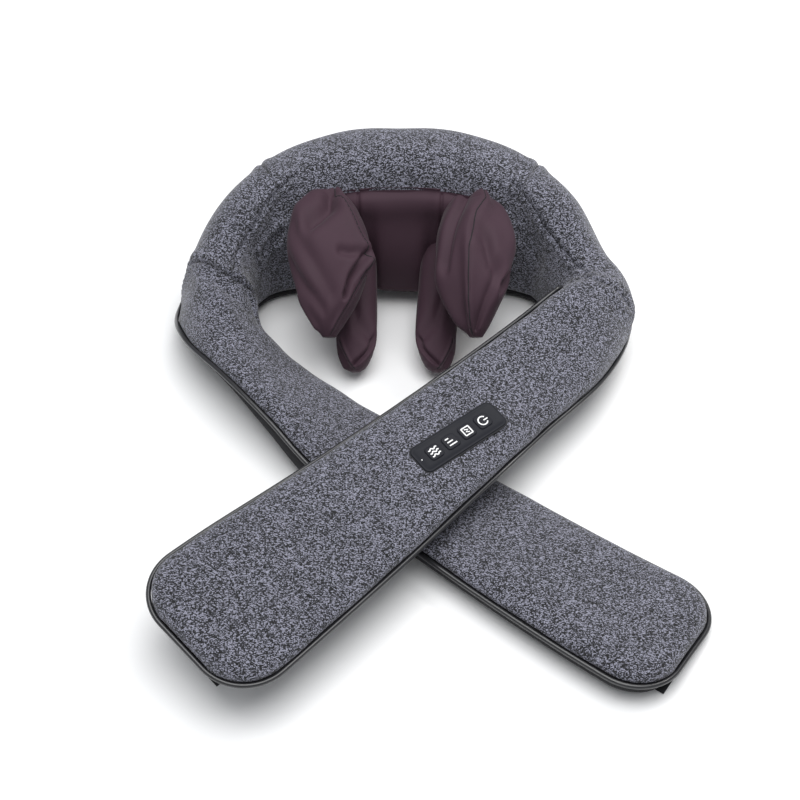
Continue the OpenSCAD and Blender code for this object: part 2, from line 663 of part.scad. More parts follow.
module heads(side) {
    difference() {
        union() {
            translate([side * upper_x, upper_head[0], upper_head[1]])
                sphere(r = upper_head[2], $fn = 64);
            translate([side * lower_x, lower_head[0], lower_head[1]])
                sphere(r = lower_head[2], $fn = 64);
        }
        stud(side, upper_x, [-70, 93], [-88.8, 68.9], 3.05);
        stud(side, lower_x, [-70, 32.1], [-97.2, 23.4], 2.55);
        side_plate(side * (upper_x - 5.1), side * (upper_x + 4.1)) polygon(band(
            [for (p = upper_finger) [p[0], p[1], p[2] + 0.2]]));
        side_plate(side * (lower_x - 4.1), side * (lower_x + 5.1)) polygon(band(
            [for (p = lower_finger) [p[0], p[1], p[2] + 0.2]]));
    }
}
module heads_left() { color([0.55, 0.1, 0.1]) heads(-1); }
module heads_right() { color([0.55, 0.1, 0.1]) heads(1); }
// A thin heated dome sits on the front of each upper head.
module heater(side) {
    r = upper_head[2];
    translate([side * upper_x, upper_head[0], upper_head[1]]) rotate([120, 0, 0])
        rotate_extrude($fn = 48) polygon(concat(
            [for (a = [0:8:56]) (r + 0.2) * [sin(a), cos(a)]],
            [for (a = [56:-8:0]) (r + 0.9) * [sin(a), cos(a)]]));
}
module heater_left() { color([0.8, 0.45, 0.2]) heater(-1); }
module heater_right() { color([0.8, 0.45, 0.2]) heater(1); }

// Cloth lobes over the fingers: centre x, y, z, half width and half height at each place
upper_lobe = [[57, -24, 79, 26, 25], [56, -50, 82, 31, 25], [55, -78, 75, 29, 22],
    [54.5, -100, 64, 21, 16.5], [54.5, -114, 54, 12, 10]];
lower_lobe = [[37, -31, 40.5, 17, 16.5], [36, -60, 34, 17, 15], [34.5, -92, 25, 17, 13],
    [34, -108, 19, 13.5, 10.5], [34, -118, 15, 8, 6.5]];
lobe_t = 2.4;
function lobe_ring(side, p, d, inset) =
    let (u = unit([d[1], d[2]]), n = 14)
    [for (k = [0:n - 1]) let (a = k * 360 / n, h = (p[4] - inset) * sin(a))
        [side * (p[0] + (p[3] - inset) * cos(a)), p[1] + h * u[1], p[2] - h * u[0]]];
module lobe(side, path) {
    m = len(path) - 1;
    dirs = [for (i = [0:m]) path[min(i + 1, m)] - path[max(i - 1, 0)]];
    nose = path[m] + (path[m] - path[m - 1]) * 0.45;
    tip = [nose[0], nose[1], nose[2], 3.5, 3.2];
    outer = concat([for (i = [0:m]) lobe_ring(side, path[i], dirs[i], 0)],
                   [lobe_ring(side, tip, dirs[m], 0)]);
    inner = [for (i = [0:m]) lobe_ring(side, path[i], dirs[i], lobe_t)];
    skin(concat([for (i = [m + 1:-1:0]) outer[i]], inner));
}
module upper_lobe_left() { color(plum) lobe(-1, upper_lobe); }
module lower_lobe_left() { color(plum) lobe(-1, lower_lobe); }
module upper_lobe_right() { color(plum) lobe(1, upper_lobe); }
module lower_lobe_right() { color(plum) lobe(1, lower_lobe); }

cover_back();
cover_left_shoulder();
cover_right_shoulder();
knit_gussets();
collar_lining();
collar_foam();
left_shoulder_foam();
right_shoulder_foam();
pouch_panel();
chassis_base();
spine_frame();
gearbox_left();
gearbox_right();
gearbox_screws();
shaft_bushes();
motor();
guide_left();
guide_right();
battery_cells();
main_board();
board_screws();
charge_port();
wire_harness();
output_shaft();
worm_wheel();
hub_left();
hub_right();
shaft_clips();
worm();
rotor_shaft();
yoke_left();
bearing_left();
heads_left();
heater_left();
upper_lobe_left();
lower_lobe_left();
yoke_right();
bearing_right();
heads_right();
heater_right();
upper_lobe_right();
lower_lobe_right();
cover_left_arm();
foam_left_arm();
lining_left_arm();
piping_left_arm();
strap_left();
cover_right_arm();
foam_right_arm();
lining_right_arm();
piping_right_arm();
strap_right();
control_tray();
control_fascia();
key_board();
key_heat();
key_strength();
key_mode();
key_power();
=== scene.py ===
"""Shiatsu neck massager: sewn knit covers, piping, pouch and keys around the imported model."""

import json
import math

import bpy
import numpy as np
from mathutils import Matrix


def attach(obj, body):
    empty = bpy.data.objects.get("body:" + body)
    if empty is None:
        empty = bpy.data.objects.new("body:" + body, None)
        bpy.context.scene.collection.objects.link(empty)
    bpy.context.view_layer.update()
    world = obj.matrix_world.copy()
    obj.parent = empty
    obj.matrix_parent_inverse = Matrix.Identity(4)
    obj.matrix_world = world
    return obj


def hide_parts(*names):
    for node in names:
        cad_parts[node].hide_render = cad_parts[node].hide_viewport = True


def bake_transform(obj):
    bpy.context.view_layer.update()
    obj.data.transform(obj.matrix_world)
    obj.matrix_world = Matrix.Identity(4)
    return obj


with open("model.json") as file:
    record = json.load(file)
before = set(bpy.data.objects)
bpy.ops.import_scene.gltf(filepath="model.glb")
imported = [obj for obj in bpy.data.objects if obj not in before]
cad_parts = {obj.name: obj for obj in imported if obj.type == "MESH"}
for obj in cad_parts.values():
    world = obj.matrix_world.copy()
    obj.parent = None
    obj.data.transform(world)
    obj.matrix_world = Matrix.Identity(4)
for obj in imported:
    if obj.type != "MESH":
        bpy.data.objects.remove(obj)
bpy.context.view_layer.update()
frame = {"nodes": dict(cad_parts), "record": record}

bl_info = {
    "name": "Neck massager",
    "version": (1, 0, 0),
    "blender": (4, 5, 0),
    "location": "3D View > Sidebar > Neck massager",
    "description": "Builds the cloth, piping and keys of a shiatsu neck massager",
    "category": "Object",
}

MM = 0.001

# Stations along the shawl in millimetres, from the middle of the collar to an arm's tip:
# x, y, piping height, half width, rise, drop, lean, roll in degrees, squareness, level.
COLLAR = [
    (0, 25, 8, 48, 120, 7.85, 0, 0, 2.6, 1),
    (48, 24, 8, 48, 118, 7.85, 2, 0, 2.6, 1),
    (95, 13, 8, 43, 108, 7.85, 5, 0, 2.5, 1),
    (131, -12, 9, 36, 92, 8.35, 8, 0, 2.4, 1),
]
LOWER = [
    (148, -50, 11, 33, 66, 8.4, 6, 0, 2.2, 0.6),
    (142, -92, 22, 34, 36, 8, 0, 22, 2.2, 0),
    (112, -131, 26, 36, 17, 8, 0, 28, 2.6, 0),
    (73, -168, 22, 40, 12, 9, 0, 23, 3.2, 0.5),
    (28, -208, 15, 45, 11, 13, 0, 14, 3.5, 1),
    (-50, -270, 11, 50, 11, 9, 0, 9, 3.5, 1),
    (-130, -332, 11, 54, 11, 9, 0, 8, 3.5, 1),
    (-197, -379, 11, 57, 11, 9, 0, 8, 3.5, 1),
]
UPPER = [
    (148, -50, 14, 33, 62.5, 8.6, 4.5, -3, 2.2, 0.5),
    (152, -92, 46.5, 36.5, 24.5, 9, 5.5, -38, 2.3, 0),
    (125.5, -131.5, 50.5, 39.5, 16, 9, 2, -26, 2.6, 0),
    (82, -176, 50, 41.5, 13, 9, 0, -17, 3.2, 0),
    (34, -225, 50, 46, 12, 9, 0, -9, 3.5, 0),
    (-35, -295, 50, 52, 11, 9, 0, -8, 3.5, 0),
    (-96, -353, 49, 57, 11, 9, 0, -8, 3.5, 0),
    (-142, -398, 48, 59, 11, 9, 0, -8, 3.5, 0),
]
LAST = len(COLLAR) + len(LOWER) - 1
TIP_R = 38.0
BEAD_R = 1.75
EDGE_ROOM = 1 + BEAD_R + 0.15
LIFT = 0.15
FLAT_SHARE = 0.8
EDGE_TAPER = 14  # length over which an arm's end thins to its edge
TIP_SHRINK = 0.02  # size of a cord's last ring against its own
LOBE_SPACING = 0.85  # power that brings a lobe's rings closer to its nose
SEAM_CORD_R = 0.42
HEM = 46.0  # angle round the crown where the knit ends over the pouch
NOTCH = 2.3  # place of the seam between back and shoulder
BEND = (4.6, 5.9)  # places that mark the ends of an arm's bend, read only by bend_points
# Seam between shoulder and arm: angle round the crown and place, lower then upper arm
JOINS = {
    -1: [(0, 4.45), (48, 4.53), (79, 4.52), (93, 4.4), (105, 4.24), (125, 4.06), (138, 3.95),
         (180, 3.86)],
    1: [(0, 4.5), (30, 4.62), (59, 4.8), (96, 4.83), (110, 4.87), (180, 4.92)],
}
# Stitched seam along a shoulder's inner side: place and angle
INNER_SEAM = {
    -1: [(1.85, 72), (2.01, 71), (2.43, 67), (2.9, 62), (3.31, 59.5), (3.67, 59), (4.16, 69),
         (4.5, 85)],
    1: [(2.0, 70), (2.3, 67), (2.61, 63), (3.15, 57), (3.57, 63), (3.97, 66), (4.4, 58),
        (4.8, 58)],
}

# Control panel
PANEL = (41.8, -230.8, 61.0)
PANEL_TURN = (9.0, 39.5)  # tilt about its length, then turn about Z
PANEL_L, PANEL_W = 76.0, 23.5
KEY_PITCH, KEY_SIZE = 15.2, 11.6
FASCIA_T = 1.4
KEY_RISE = 0.62  # keys above the fascia
SYMBOL_T = 0.28
SYMBOL_PROUD = 0.02
STROKE = 0.95


# ---- curves and surfaces -----------------------------------------------------------


def cubic(knots, t):
    """Catmull-Rom: between rows b and c the cubic with slopes (c - a) / 2 and (d - b) / 2.
    The knots have one more row at each end than the curve passes through."""
    i = np.clip(np.floor(t).astype(int), 0, len(knots) - 4)
    u = (t - i)[..., None]
    a, b, c, d = (knots[i + k] for k in range(4))
    return (2 * b + (c - a) * u + (2 * a - 5 * b + 4 * c - d) * u**2
            + (3 * (b - c) + d - a) * u**3) / 2


def spline(rows, t):
    """A cubic that starts level at x = 0: the row before the first is the second's mirror
    in x, and the row past the last goes straight on."""
    rows = np.asarray(rows, float)
    first = rows[1].copy()
    first[0] *= -1
    return cubic(np.vstack([first, rows, 2 * rows[-1] - rows[-2]]), t)


def through(rows, t):
    """A cubic that goes straight on past both ends."""
    rows = np.asarray(rows, float)
    return cubic(np.vstack([2 * rows[0] - rows[1], rows, 2 * rows[-1] - rows[-2]]), t)


def unit(v):
    return v / np.maximum(np.linalg.norm(v, axis=-1, keepdims=True), 1e-12)


def bell(x):
    """exp(-x^2), a smooth bump of height 1."""
    return np.exp(-np.square(x))


def half_shawl(rows, t, room):
    """Stations at places t >= 0 narrowed by room, with rounded, thinned tips, and the
    heading there."""
    v = spline(rows, t)
    e = 0.01
    d = spline(rows, np.minimum(t + e, LAST)) - spline(rows, np.maximum(t - e, 0))
    head = np.where(t[..., None] < e, [1.0, 0.0], unit(d[..., :2]))
    left = np.linalg.norm(np.asarray(rows[-1], float)[:2] - v[..., :2], axis=-1)
    left = np.where(t > LAST - 1, left, 2 * TIP_R)
    deep = np.maximum(0, TIP_R - left)
    v[..., 3] += np.sqrt(np.maximum(0, (TIP_R - room) ** 2 - deep**2)) - TIP_R
    thin = (1 - (1 - np.clip((left - room) / EDGE_TAPER, 0, 1)) ** 2.5) ** 0.4
    v[..., 4:6] *= thin[..., None]
    return v, head


class Shawl:
    """Stations and headings at a grid of places t, one row per ring and one column per
    angle, or a single column; t < 0 is the lower arm's side."""

    def __init__(self, t, room=EDGE_ROOM):
        t = np.asarray(t, float)
        t = t[:, None] if t.ndim == 1 else t
        upper, hu = half_shawl(COLLAR + UPPER, np.abs(t), room)
        lower, hl = half_shawl(COLLAR + LOWER, np.abs(t), room)
        right = (t >= 0)[..., None]
        self.t = t
        self.v = np.where(right, upper, lower)
        self.head = np.where(right, hu, hl)
        self.side = np.where(t < 0, -1.0, 1.0)

    def place(self, across, above):
        """Points `across` towards the inside and `above` the piping line, rolled by the
        station's roll about its heading, in metres."""
        x, y, z = (self.v[..., k] for k in range(3))
        r = np.radians(self.v[..., 7])
        flat = across * np.cos(r) + above * np.sin(r)
        px = self.side * (x + flat * self.head[..., 1])
        py = y - flat * self.head[..., 0]
        pz = z - across * np.sin(r) + above * np.cos(r)
        return np.stack([px, py, pz + 0 * px], axis=-1) * MM

    def crown(self, angle, inset=0.0):
        """Superellipse over the top: across = |cos|^(2/p) (half - inset) + lean |sin|^(2/p),
        above = |sin|^(2/p) (rise - inset)."""
        p = self.v[..., 8]
        a = np.radians(angle)[None, :]
        c, s = np.cos(a), np.abs(np.sin(a))
        k = s ** (2 / p)
        across = np.sign(c) * np.abs(c) ** (2 / p) * (self.v[..., 3] - inset)
        rise = np.maximum(0.9 - 0.15 * inset, self.v[..., 4] - inset)
        return self.place(across + k * self.v[..., 6], LIFT + k * rise)

    def belly(self, angle, inset=0.0):
        """Flat underside with round edges: above = -min(1, sqrt|sin| / share) drop."""
        a = np.radians(angle)[None, :]
        across = np.cos(a) * (self.v[..., 3] - inset)
        k = np.minimum(1, np.sqrt(np.abs(np.sin(a))) / FLAT_SHARE)
        tilt = np.tan(np.radians(self.v[..., 7]))
        drop = self.v[..., 5] - self.v[..., 9] * across * tilt
        return self.place(across, -LIFT - k * np.maximum(0.9 - 0.15 * inset, drop - inset))


def normals(p):
    """Unit cross products of the differences along the two grid directions."""
    return unit(np.cross(np.gradient(p, axis=0), np.gradient(p, axis=1)))


def arm_places(side, start, end=EDGE_ROOM + 0.3, count=150):
    """Places from the seam to the arm's end, denser where the corners turn."""
    rows = COLLAR + (UPPER if side > 0 else LOWER)
    a, b = np.asarray(rows[-1], float)[:2], np.asarray(rows[-2], float)[:2]
    length = np.linalg.norm(a - b)
    straight = np.linspace(start, LAST - (TIP_R + 1) / length, count)
    turn = np.radians(np.linspace(0, 90, 28))[1:]
    round_end = LAST - (end + (TIP_R - end) * (1 - np.sin(turn))) / length
    return side * np.concatenate([straight, round_end])


def grid_quads(m, n, wrap=False):
    """Quads of an m by n grid, joined round the second direction if wrap."""
    i, j = np.meshgrid(np.arange(m - 1), np.arange(n if wrap else n - 1), indexing="ij")
    k = (j + 1) % n
    return np.stack([i * n + j, i * n + k, (i + 1) * n + k, (i + 1) * n + j], -1).reshape(-1, 4)


def rim_quads(loop, offset):
    """Quads between a closed loop of indices and the same loop shifted by offset."""
    a, b = loop, np.roll(loop, -1)
    return np.stack([b, a, a + offset, b + offset], -1)


def new_object(name, points, faces, smooth=True):
    mesh = bpy.data.meshes.new(name)
    mesh.from_pydata(np.asarray(points).reshape(-1, 3).tolist(), [],
                     [list(map(int, f)) for f in faces])
    mesh.polygons.foreach_set("use_smooth", np.full(len(mesh.polygons), smooth))
    mesh.update()
    mesh.validate()
    obj = bpy.data.objects.new(name, mesh)
    bpy.context.scene.collection.objects.link(obj)
    return obj


def outward(points, quads):
    """Reverses the quads if the closed mesh they make has a negative volume."""
    p = points.reshape(-1, 3)
    a, b, c, d = (p[quads[:, k]] for k in range(4))
    volume = (np.cross(a, b) * c).sum() + (np.cross(a, c) * d).sum()
    return quads if volume > 0 else quads[:, ::-1]


def shell(name, outer, inner, edge=0.4):
    """A closed sheet between two grids of the same shape, its rim rounded by moving the
    outer grid's border a little inwards (edge, as a share of the thickness)."""
    m, n = outer.shape[:2]
    blend = np.zeros((m, n, 1))
    blend[0], blend[-1], blend[:, 0], blend[:, -1] = edge, edge, edge, edge
    outer = outer * (1 - blend) + inner * blend
    top = grid_quads(m, n)
    border = np.concatenate([np.arange(n), np.arange(1, m) * n + n - 1,
                             (m - 1) * n + np.arange(n - 2, -1, -1),
                             np.arange(m - 2, 0, -1) * n])
    quads = np.concatenate([top, top[:, ::-1] + m * n, rim_quads(border, m * n)])
    points = np.concatenate([outer.reshape(-1, 3), inner.reshape(-1, 3)])
    return new_object(name, points, outward(points, quads))


def frames_along(path):
    """Two unit vectors across a path at each of its points."""
    d = unit(np.gradient(path, axis=0))
    pick = np.where(np.abs(d[:, 2:]) > 0.9, [[1.0, 0, 0]], [[0, 0, 1.0]])
    side = unit(np.cross(d, pick))
    return side, np.cross(side, d)


def tube(name, path, radius, sides=12):
    """A circle carried along a path, path + radius (cos a side + sin a up), closed at each
    end by a ring that has shrunk almost to the path."""
    side, up = frames_along(path)
    a = np.linspace(0, 2 * np.pi, sides, endpoint=False)[None, :, None]
    rings = path[:, None] + radius * (np.cos(a) * side[:, None] + np.sin(a) * up[:, None])
    tips = path[[0, -1], None] + TIP_SHRINK * (rings[[0, -1]] - path[[0, -1], None])
    rings = np.concatenate([tips[:1], rings, tips[1:]])
    m = len(rings)
    quads = grid_quads(m, sides, wrap=True)
    faces = outward(rings, quads)
    caps = np.stack([np.arange(sides)[::-1], (m - 1) * sides + np.arange(sides)])
    flip = faces[0][0] != quads[0][0]
    return new_object(name, rings, [*faces, *(caps[:, ::-1] if flip else caps)])


# ---- materials ---------------------------------------------------------------------


class Signal:
    """A shader socket that takes part in sums: each operator adds one Math node."""

    def __init__(self, tree, socket):
        self.tree, self.socket = tree, socket

    def math(self, operation, *values):
        node = self.tree.nodes.new("ShaderNodeMath")
        node.operation = operation
        for slot, value in zip(node.inputs, values):
            if isinstance(value, Signal):
                self.tree.links.new(value.socket, slot)
            else:
                slot.default_value = value
        return Signal(self.tree, node.outputs[0])

    def __add__(self, other):
        return self.math("ADD", self, other)

    def __mul__(self, other):
        return self.math("MULTIPLY", self, other)

    def __sub__(self, other):
        return self.math("SUBTRACT", self, other)

    def __rsub__(self, other):
        return self.math("SUBTRACT", other, self)

    __radd__, __rmul__ = __add__, __mul__


class Finish:
    """One material and its Principled shader."""

    def __init__(self, name, **constants):
        self.material = bpy.data.materials.new(name)
        self.material.use_nodes = True
        self.tree = self.material.node_tree
        self.shader = self.tree.nodes["Principled BSDF"]
        for key, value in constants.items():
            self.shader.inputs[key.replace("_", " ")].default_value = value
        self.place = self.node("ShaderNodeTexCoord", out="Object")

    def node(self, kind, settings=None, stops=None, out=0, **inputs):
        """Any node: its settings first, then a ramp's stops, then its sockets."""
        node = self.tree.nodes.new(kind)
        for key, value in (settings or {}).items():
            setattr(node, key, value)
        if stops:
            ramp = node.color_ramp.elements
            while len(ramp) < len(stops):
                ramp.new(0.5)
            for element, (at, colour) in zip(ramp, stops):
                element.position = at
                element.color = colour
        for key, value in inputs.items():
            slot = node.inputs[int(key[1:])] if key[1:].isdigit() else node.inputs[
                key.replace("_", " ")]
            if isinstance(value, Signal):
                self.tree.links.new(value.socket, slot)
            else:
                slot.default_value = value
        return Signal(self.tree, node.outputs[out])

    def noise(self, scale, detail=2.0, rough=0.55, at=None):
        return self.node("ShaderNodeTexNoise", Vector=at or self.place, Scale=scale,
                         Detail=detail, Roughness=rough)

    def stretched(self, x, y, z):
        """Object coordinates multiplied along each axis."""
        return self.node("ShaderNodeMapping", Vector=self.place, Scale=(x, y, z))

    def mix(self, share, a, b):
        node = self.tree.nodes.new("ShaderNodeMix")
        node.data_type = "RGBA"
        for slot, value in ((0, share), (6, a), (7, b)):
            if isinstance(value, Signal):
                self.tree.links.new(value.socket, node.inputs[slot])
            else:
                node.inputs[slot].default_value = value
        return Signal(self.tree, node.outputs[2])

    def feed(self, **signals):
        for key, signal in signals.items():
            self.tree.links.new(signal.socket, self.shader.inputs[key.replace("_", " ")])
        return self

    def bump(self, height, distance, strength=1.0):
        normal = self.node("ShaderNodeBump", Height=height, Distance=distance,
                           Strength=strength)
        return self.feed(Normal=normal)


def rgba(colour, k=1.0):
    return (colour[0] * k, colour[1] * k, colour[2] * k, 1.0)


def knit_finish(name, colour):
    """Salt and pepper heather knit: pale and dark fibres in flecks under a millimetre."""
    f = Finish(name, Roughness=0.92, Sheen_Weight=0.25, Sheen_Roughness=0.5)
    strands = f.stretched(0.75, 1.1, 1.0)
    cells, loops = (f.node("ShaderNodeTexVoronoi", {"feature": "F1"}, out=wanted,
                           Vector=strands, Scale=1450.0, Randomness=0.9)
                    for wanted in ("Color", "Distance"))
    grain = f.node("ShaderNodeSeparateColor", _0=cells)
    fine = f.noise(1300.0, 1.0, 0.5)
    broad = f.noise(70.0, 2.0, 0.5)
    fleck = grain * 0.7 - loops * 0.5 + fine * 0.55 + broad * 0.08 + 0.13
    tone = f.node("ShaderNodeValToRGB", stops=[
        (0.22, rgba(colour, 0.03)), (0.46, rgba(colour, 0.24)), (0.6, rgba(colour, 1.4)),
        (0.8, rgba(colour, 6.0))], _0=fleck)
    f.feed(Base_Color=tone)
    return f.bump(fleck, 0.0005, 0.6).material


def cloth_finish(name, colour):
    """Smooth warp-knit stretch cloth with faint ribs and slow colour change."""
    f = Finish(name, Roughness=0.74, Sheen_Weight=0.07, Sheen_Roughness=0.35,
               Specular_IOR_Level=0.3)
    slow = f.noise(28.0, 3.0)
    ribs = f.node("ShaderNodeTexWave", {"wave_type": "BANDS", "bands_direction": "X"},
                  Vector=f.place, Scale=420.0, Distortion=0.6)
    fine = f.noise(2600.0, 1.0)
    tone = f.mix(slow, rgba(colour, 0.82), rgba(colour, 1.2))
    f.feed(Base_Color=f.mix(fine * 0.3, tone, rgba(colour, 1.45)))
    f.feed(Roughness=0.66 + 0.14 * slow)
    return f.bump(ribs * 0.5 + fine, 0.00022, 0.35).material


def lining_finish(name, colour):
    """Plain woven lining: crossed fine threads."""
    f = Finish(name, Roughness=0.9, Specular_IOR_Level=0.3)
    warp = f.node("ShaderNodeTexWave", {"bands_direction": "X"}, Vector=f.place, Scale=330.0)
    weft = f.node("ShaderNodeTexWave", {"bands_direction": "Y"}, Vector=f.place, Scale=330.0)
    slow = f.noise(60.0)
    f.feed(Base_Color=f.mix(warp * weft * 0.6 + slow * 0.3, rgba(colour, 0.25),
                            rgba(colour, 0.8)))
    return f.bump(warp + weft, 0.0002, 0.4).material


def gloss_finish(name, colour, rough=0.24):
    """Extruded or moulded gloss plastic with slight ripples and rubbed spots."""
    f = Finish(name, Coat_Weight=0.4, Coat_Roughness=0.12)
    ripple = f.noise(160.0, 2.0)
    f.feed(Base_Color=f.mix(ripple, rgba(colour, 0.8), rgba(colour, 1.5)))
    f.feed(Roughness=rough + 0.16 * ripple)
    return f.bump(ripple, 0.0002, 0.25).material


def moulded_finish(name, colour, rough=0.5, grain=0.00008):
    """Spark-eroded moulded plastic: fine grain and slightly worn, shinier patches."""
    f = Finish(name, Specular_IOR_Level=0.22)
    fine, slow = f.noise(2200.0, 2.0), f.noise(45.0, 3.0)
    f.feed(Base_Color=f.mix(slow * 0.7, rgba(colour, 0.85), rgba(colour, 1.25)))
    f.feed(Roughness=rough - 0.08 + 0.2 * slow)
    return f.bump(fine, grain, 0.6).material


def metal_finish(name, colour, rough=0.32):
    """Machined metal with fine turning marks."""
    f = Finish(name, Metallic=1.0)
    marks = f.noise(900.0, 3.0, at=f.stretched(1.0, 0.08, 1.0))
    slow = f.noise(70.0)
    f.feed(Base_Color=f.mix(slow, rgba(colour, 0.8), rgba(colour, 1.1)))
    f.feed(Roughness=rough + 0.22 * marks)
    return f.bump(marks, 0.00004, 0.5).material


def foam_finish(name, colour):
    """Open-cell foam: round pores."""
    f = Finish(name, Roughness=0.95)
    pores = f.node("ShaderNodeTexVoronoi", out="Distance", Vector=f.place, Scale=700.0)
    f.feed(Base_Color=f.mix(pores, rgba(colour, 0.55), rgba(colour, 1.1)))
    return f.bump(pores, 0.0006, 0.8).material


def board_finish(name, colour):
    """Solder mask with a faint print of tracks."""
    f = Finish(name, Roughness=0.4, Coat_Weight=0.3)
    tracks = f.node("ShaderNodeTexBrick", out="Fac", Vector=f.place, Scale=180.0)
    f.feed(Base_Color=f.mix(tracks, rgba(colour), rgba(colour, 1.7)))
    return f.bump(tracks, 0.00005).material


SLOT_FINISH = {
    "knit": knit_finish, "lining": lining_finish, "foam": foam_finish,
    "stretch_cloth": cloth_finish, "piping": gloss_finish, "black_plastic": moulded_finish,
    "slate_plastic": moulded_finish, "nylon": moulded_finish, "steel": metal_finish,
    "bronze": metal_finish, "circuit_board": board_finish, "cell_wrap": gloss_finish,
    "wire": gloss_finish, "head_rubber": moulded_finish, "heater_film": moulded_finish,
}
FINISHES = {}


def finish_for(slot):
    """The material of a record slot, made once."""
    if slot not in FINISHES:
        entry = next(m for m in frame["record"]["materials"] if m["slot"] == slot)
        colours = bpy.context.scene.massager_cloth
        colour = {"knit": colours.knit_colour, "stretch_cloth": colours.pouch_colour,
                  "slate_plastic": colours.panel_colour}.get(slot, entry["base_color"][:3])
        FINISHES[slot] = SLOT_FINISH[slot](slot, tuple(colour))
    return FINISHES[slot]


def dress(obj, slot, body=None, stands_for=()):
    """Gives a piece its material and its body, and hides the CAD nodes that it stands for."""
    obj.data.materials.clear()
    obj.data.materials.append(finish_for(slot))
    if stands_for:
        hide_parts(*stands_for)
    if body:
        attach(obj, body)
    return obj


# ---- knit covers -------------------------------------------------------------------


def join(side, angle):
    """Places of the slanting seam between shoulder and arm at the given angles."""
    at, t = np.array(JOINS[side]).T
    return np.interp(angle, at, t)


def curve_distance(T, A, points):
    """Distance in millimetres from grid points to a polyline of (place, angle),
    where a place counts as 46 mm and a degree as 1.1 mm, and the length along it."""
    size = np.array([46.0, 1.1])
    p = np.array(points, float) * size
    q = np.stack([np.abs(T), A], -1) * size
    best, along, run = np.full(T.shape, 1e9), np.zeros(T.shape), 0.0
    for a, b in zip(p[:-1], p[1:]):
        d = b - a
        k = np.clip(((q - a) @ d) / (d @ d), 0, 1)
        gap = np.linalg.norm(q - a - k[..., None] * d, axis=-1)
        near = gap < best
        best = np.where(near, gap, best)
        along = np.where(near, run + k * np.linalg.norm(d), along)
        run += np.linalg.norm(d)
    return best, along


def seam_relief(gap, along, depth=1.6, puff=1.1, pitch=8.0):
    """A stitched seam: a narrow groove, puffed cloth beside it and small gathers."""
    gathers = 0.3 * np.sin(along * 2 * np.pi / pitch + 1.6 * np.sin(along / 7))
    return (puff * (1 + gathers) * bell((gap - 5.5) / 4.5) - depth * bell(gap / 1.3)
            + 0.8 * gathers * bell(gap / 7))


def collar_relief(T, A):
    """Outward displacement in millimetres of the collar's knit: soft waves, a faint seam
    at each notch, the inner stitched seam, the join to the arm and some creases."""
    relief = 0.4 * np.sin(T * 5.3 + A / 23) * np.sin(A / 17 + 0.4)
    notch = (np.abs(T) - NOTCH) * 46 + 3 * np.cos(A / 20)
    high = np.clip((A - 60) / 30, 0, 1)
    relief += high * (1.5 * bell((np.abs(notch) - 4) / 4) - 1.3 * bell(notch / 1.4))
    for side in (-1, 1):
        mine = T < 0 if side < 0 else T >= 0
        gap, along = curve_distance(T, A, INNER_SEAM[side])
        part = seam_relief(gap, along, 2.3, 1.3)
        if side > 0:
            part += 0.7 * seam_relief(np.abs(gap - 4.2), along, 1.2, 0.2)
        gap = np.abs(np.abs(T) - join(side, A)) * 46
        part += seam_relief(gap, A * 1.1, 2.6 if side < 0 else 2.0, 1.5 if side < 0 else 0.9)
        hollow, _ = curve_distance(T, A, [(2.3, 52), (2.7, 36), (3.3, 30)])
        part -= 3.5 * bell(hollow / 13)
        gap, _ = curve_distance(T, A, [(3.22, 32), (2.78, 33), (2.44, 35)])
        part += (3.0 * bell((gap - 6) / 5) - 3.4 * bell(gap / 2.6)) * (1.0 if side < 0 else 0.5)
        relief += np.where(mine, part, 0)
    return relief


def arm_relief(T, A, side):
    """The arm's cloth: valleys and creases where it leaves the shoulder, flat padding on."""
    gap = np.abs(np.abs(T) - join(side, A)) * 46
    relief = seam_relief(gap, A * 1.1, 2.6 if side < 0 else 2.0, 1.5 if side < 0 else 0.9)
    if side < 0:
        gap, _ = curve_distance(T, A, [(4.36, 100), (4.66, 80), (4.95, 60), (5.35, 50)])
        relief -= 8.5 * bell(gap / 13)
        gap, _ = curve_distance(T, A, [(4.5, 128), (5.0, 104), (5.6, 96)])
        relief += 1.8 * bell(gap / 12)
        gap, _ = curve_distance(T, A, [(4.75, 40), (5.1, 44), (5.5, 52)])
        relief += 1.5 * bell(gap / 6)
    else:
        gap, _ = curve_distance(T, A, [(4.84, 92), (4.88, 112), (4.86, 128)])
        relief += 1.6 * bell((gap - 5) / 4) - 2.6 * bell(gap / 1.7)
    return relief + 0.25 * np.sin(np.abs(T) * 9 + A / 40)


def raised(p, relief):
    """The grid moved along its outward normals by relief millimetres."""
    n = normals(p)
    centre = p.mean(axis=(0, 1))
    if (n * (p - centre)).sum() < 0:
        n = -n
    return p + n * relief[..., None] * MM


def crown_sheet(name, t, angle, relief, thickness=2.5, inset=0.0):
    """A knit sheet over the crown at a grid of places and angles, with its relief."""
    shawl = Shawl(t)
    outer = raised(shawl.crown(angle, inset), relief)
    return shell(name, outer, shawl.crown(angle, inset + thickness))


def place_grid(start, end, count):
    """Places that go evenly from one row of places to another, one column per angle."""
    u = np.linspace(0, 1, count)[:, None]
    return (1 - u) * start[None, :] + u * end[None, :]


def bend_points(side):
    """Start and end of an arm's bend, in metres."""
    centre = Shawl(side * np.array(BEND)).place(0.0, 0.0)[:, 0]
    return tuple(centre[0]), tuple(centre[1])


def bend_with(obj, side):
    """Bakes the piece's placement into its mesh; the ends of the arm's bend are found but not used.
    """
    start, end = bend_points(side)
    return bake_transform(obj)


def side_name(side):
    return "right" if side > 0 else "left"


